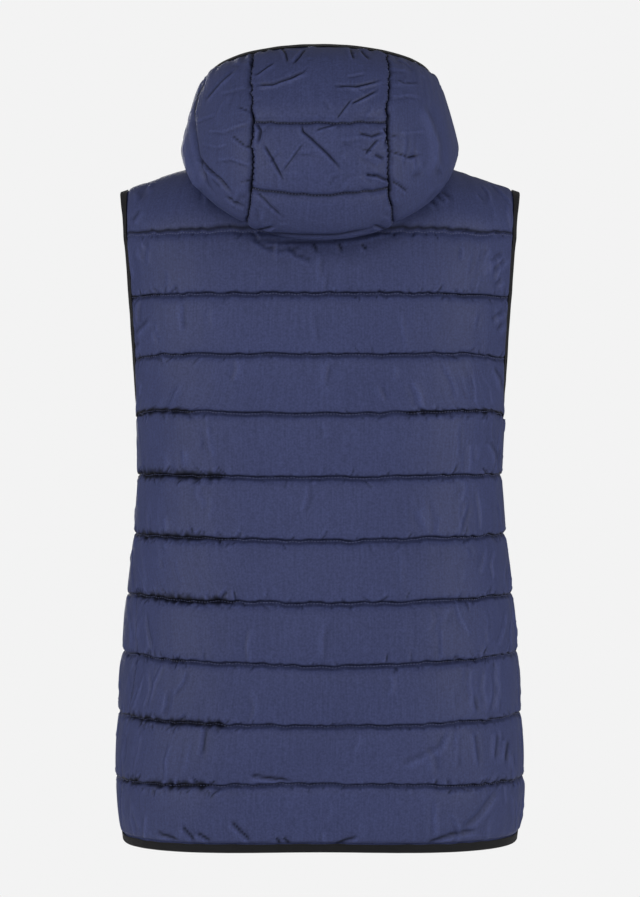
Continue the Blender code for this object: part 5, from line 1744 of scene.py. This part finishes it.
def shell_finish():
    """Navy nylon: fine upright weave, a satin gloss and a little crumpling."""
    finish = Finish("navy_shell", NAVY, 0.5, specular=0.09)
    upright = finish.noise("UV", (620, 26, 1), 3.0)
    broad = finish.noise("Object", (7, 7, 7), 2.0)
    fine = finish.noise("Object", (520, 520, 520), 2.0)
    finish.tint(((upright, 0.10), (broad, 0.05), (fine, 0.17)))
    # Painted shade in the hollows and painted highlight on the ridges, scaled into the colour
    finish.shade("hollow", PAINTED_SHADE_DARKEST)
    finish.rough(upright, 0.44, 0.54)
    finish.bump(finish.noise("Object", (85, 85, 85), 3.0), 0.25, 0.0006)
    finish.bump(finish.wave("UV", (1900, 1900, 1), "X"), 0.12, 0.00008)
    finish.bump(finish.wave("UV", (1900, 1900, 1), "Y"), 0.12, 0.00008)
    return finish.made


def elastic_finish():
    """Black elastic strip: fine ribs along it and a dull knit."""
    finish = Finish("black_elastic", BLACK, 0.7, specular=0.15)
    finish.shader.inputs["Sheen Weight"].default_value = 0.04
    ribs = finish.wave("UV", (900, 900, 1), "X")
    knit = finish.noise("UV", (900, 500, 1), 2.0)
    finish.tint(((knit, 0.25), (finish.noise("Object", (30, 30, 30), 2.0), 0.10)))
    finish.rough(knit, 0.6, 0.8)
    finish.bump(ribs, 0.4, 0.0002)
    finish.bump(knit, 0.3, 0.0002)
    return finish.made


def thread_finish():
    finish = Finish("navy_thread", NAVY_THREAD, 0.55, specular=0.4)
    twist = finish.noise("Object", (1500, 1500, 1500), 1.0)
    finish.tint(((twist, 0.2),))
    finish.bump(twist, 0.3, 0.0001)
    return finish.made


def tape_finish():
    """Dark woven zip tape, in a close herringbone."""
    finish = Finish("zip_tape", NAVY_DARK, 0.75, specular=0.25)
    weave = finish.wave("UV", (900, 900, 1), "DIAGONAL")
    finish.tint(((weave, 0.12), (finish.noise("UV", (300, 60, 1), 2.0), 0.10)))
    finish.rough(weave, 0.68, 0.82)
    finish.bump(weave, 0.35, 0.00015)
    return finish.made


def coil_finish():
    finish = Finish("zip_coil", COIL, 0.38, specular=0.5)
    fine = finish.noise("Object", (400, 400, 400), 2.0)
    finish.tint(((fine, 0.15),))
    finish.rough(fine, 0.30, 0.46)
    return finish.made


def metal_finish():
    """Dark plated metal with rubbed variation."""
    finish = Finish("zip_metal", GUNMETAL, 0.35, metallic=0.9)
    worn = finish.noise("Object", (350, 350, 350), 4.0)
    finish.tint(((worn, 0.25),))
    finish.rough(worn, 0.25, 0.45)
    finish.bump(worn, 0.15, 0.00005)
    return finish.made


def add_cloth(name, grid, outer, finishes):
    """One padded piece, which stands for the node of its name."""
    inner, normals = grid["points"], grid["normals"]
    mesh = shell_mesh(f"{name}_cloth", outer, inner, grid["runs"], normals, painted_shade_and_highlight(grid))
    piece = add_piece(mesh, finishes["shell"], "vest", [name])


def row_lines(grid, outer, lifts):
    """(points, outward directions, lift) of the threads in a grid's stitch rows."""
    rows = zip(grid["lines"], lifts)
    return [(outer[row, 2:-2], grid["normals"][row, 2:-2], lift) for row, lift in rows]


def build_panels(finishes, rng):
    """Back and fronts, with their quilting threads. Returns the coarse panels."""
    back = joined_back()
    panels = {"back_panel": (back, "back")}
    for side, name in ((1, "left"), (-1, "right")):
        panels[f"front_panel_{name}"] = (half_panel(side, "front"), "front")
    for name, (panel, face) in panels.items():
        grid = fine_panel(panel, face)
        grid["shift"] = line_shift(grid, face, rng)
        outer = settle(grid, panel_excess(grid), rng)
        lift = pucker_lift(grid, face, rng) + end_wrinkles(grid, rng) + uneven_lift(grid, rng)
        if face == "back":
            lift += photo_creases(grid, BACK_CREASES, BACK_LEAST_WIDTH)
        outer = laid_on(grid, outer, lift)
        add_cloth(name, grid, outer, finishes)
        lifts = [THREAD_SUNK if row == grid["lines"][-1] else THREAD_LIFT for row in grid["lines"]]
        threads = stitch_mesh(f"{name}_stitches", row_lines(grid, outer, lifts))
        add_piece(threads, finishes["thread"], "vest")
    return {name: panel for name, (panel, _) in panels.items()}


def build_hood(finishes, rng):
    """The hood's strip and sides with their threads."""
    for name, grid in fine_hood().items():
        side = {"hood_side_left": 1, "hood_side_right": -1}.get(name, 0)
        grid["shift"] = hood_shift(grid, side)
        # Painted shade beside the hood's seams and cross lines
        grid["hollow"] = hood_hollow(grid, side)
        outer = settle(grid, hood_excess(grid), rng)
        lift = photo_creases(grid, HOOD_CREASES, HOOD_LEAST_WIDTH) + hood_wrinkles(grid, rng)
        lift += uneven_lift(grid, rng) + gather_lift(grid, rng)
        outer = laid_on(grid, outer, lift)
        add_cloth(name, grid, outer, finishes)
        if name == "hood_centre_panel":
            lines = row_lines(grid, outer, [THREAD_SUNK] * len(grid["lines"]))
            lines += [(outer[:, column], grid["normals"][:, column], THREAD_SUNK) for column in (1, -2)]
            add_piece(stitch_mesh("hood_stitches", lines), finishes["thread"], "vest")


def build_bindings(panels, finishes, rng):
    """Elastic bindings of the armholes, the hem and the hood's face edge."""
    points, normals, _ = hood_grid()
    hood_inward = unit(points[-2] - points[-1])
    hem_panels = [panels[name] for name in ("front_panel_left", "back_panel", "front_panel_right")]
    lines = {
        "hem_binding": hem_line(*hem_panels),
        "hood_binding": (points[-1], hood_inward, normals[-1]),
    }
    for side, name in ((1, "left"), (-1, "right")):
        back = half_panel(side, "back")
        lines[f"armhole_binding_{name}"] = armhole_line(back, panels[f"front_panel_{name}"])
    for name, (edge, inward, out) in lines.items():
        mesh, flat = binding_mesh(f"{name}_strip", edge, inward, out, rng, name.startswith("armhole"))
        piece = add_piece(mesh, finishes["elastic"], "vest", [name])


def build_zip(panels, finishes):
    """Tapes, coil, bottom box, slider and pull tab."""
    points, normals, _ = hood_grid()
    line = zip_line(panels["front_panel_left"], points, normals)
    for side, name in ((1, "left"), (-1, "right")):
        mesh, flat = tape_mesh(f"zip_tape_{name}_woven", line, side)
        piece = add_piece(mesh, finishes["tape"], "vest", [f"zip_tape_{name}"])
    add_piece(coil_mesh("zip_coil_teeth", line), finishes["coil"], "vest", ["zip_chain"])
    for node, body, width in HARD_PIECES:
        mesh = bevelled_copy(f"{node}_rounded", node, width)
        add_piece(mesh, finishes["metal"], body, [node])


def stage_piece(mesh, colour, glow=0.0):
    """A floor or backdrop, which is no part of the vest."""
    piece = bpy.data.objects.new(mesh.name, mesh)
    bpy.context.scene.collection.objects.link(piece)
    finish = bpy.data.materials.new(mesh.name)
    finish.use_nodes = True
    shader = finish.node_tree.nodes["Principled BSDF"]
    shader.inputs["Base Color"].default_value = (*colour, 1)
    shader.inputs["Roughness"].default_value = 0.9
    if glow:
        shader.inputs["Base Color"].default_value = (0, 0, 0, 1)
        shader.inputs["Specular IOR Level"].default_value = 0
        shader.inputs["Emission Color"].default_value = (*colour, 1)
        shader.inputs["Emission Strength"].default_value = glow
    mesh.materials.append(finish)
    return piece


def round_mesh(name, radius, height):
    shape = bmesh.new()
    bmesh.ops.create_circle(shape, cap_ends=True, segments=96, radius=radius)
    bmesh.ops.translate(shape, verts=shape.verts, vec=(0, 0, height))
    mesh = bpy.data.meshes.new(name)
    shape.to_mesh(mesh)
    shape.free()
    return mesh


def dome_mesh(name, radius):
    shape = bmesh.new()
    bmesh.ops.create_icosphere(shape, subdivisions=4, radius=radius)
    mesh = bpy.data.meshes.new(name)
    shape.to_mesh(mesh)
    shape.free()
    mesh.shade_smooth()
    return mesh


def build_room():
    """A pale floor at standing height below the vest, and a plain backdrop that only the camera sees."""
    stage_piece(round_mesh("floor", FLOOR_RADIUS, FLOOR_HEIGHT), PALE)
    backdrop = stage_piece(dome_mesh("backdrop", BACKDROP_RADIUS), (1, 1, 1), BACKDROP_GREY)
    backdrop.visible_diffuse = False
    backdrop.visible_glossy = False
    backdrop.visible_transmission = False
    backdrop.visible_shadow = False


def area_light(name, place, target, size, power):
    data = bpy.data.lights.new(name, "AREA")
    data.shape = "RECTANGLE"
    data.size, data.size_y = size
    data.energy = power
    light = bpy.data.objects.new(name, data)
    bpy.context.scene.collection.objects.link(light)
    light.location = place
    direction = np.array(target) - np.array(place)
    flat = math.hypot(direction[0], direction[1])
    light.rotation_euler = (math.atan2(flat, -direction[2]), 0, math.atan2(-direction[0], direction[1]))
    light.visible_camera = False
    return light


def build_light():
    """Soft studio light: a large box above and behind the camera, one at each side and one in front."""
    world = bpy.context.scene.world or bpy.data.worlds.new("room")
    bpy.context.scene.world = world
    world.use_nodes = True
    world.node_tree.nodes["Background"].inputs["Color"].default_value = (1, 1, 1, 1)
    world.node_tree.nodes["Background"].inputs["Strength"].default_value = WORLD_STRENGTH
    for name, (place, size, power) in LIGHTS.items():
        area_light(name, place, LIGHT_TARGET, size, power)


def build_camera():
    data = bpy.data.cameras.new("camera")
    data.sensor_fit = "AUTO"
    data.sensor_width = 36
    half_tall = PHOTO_SIZE[1] / 2 / PIXELS_PER_METRE
    data.lens = 36 / 2 * CAMERA_DISTANCE / half_tall
    camera = bpy.data.objects.new("camera", data)
    bpy.context.scene.collection.objects.link(camera)
    camera.location = (0, CAMERA_DISTANCE, CAMERA_HEIGHT)
    camera.rotation_euler = (math.pi / 2, 0, math.pi)
    bpy.context.scene.camera = camera


def main():
    rng = np.random.default_rng(SEED)
    finishes = {
        "shell": shell_finish(),
        "elastic": elastic_finish(),
        "thread": thread_finish(),
        "tape": tape_finish(),
        "coil": coil_finish(),
        "metal": metal_finish(),
    }
    panels = build_panels(finishes, rng)
    build_hood(finishes, rng)
    build_bindings(panels, finishes, rng)
    build_zip(panels, finishes)
    build_room()
    build_light()
    build_camera()
    bpy.context.scene.view_settings.view_transform = "Standard"


main()
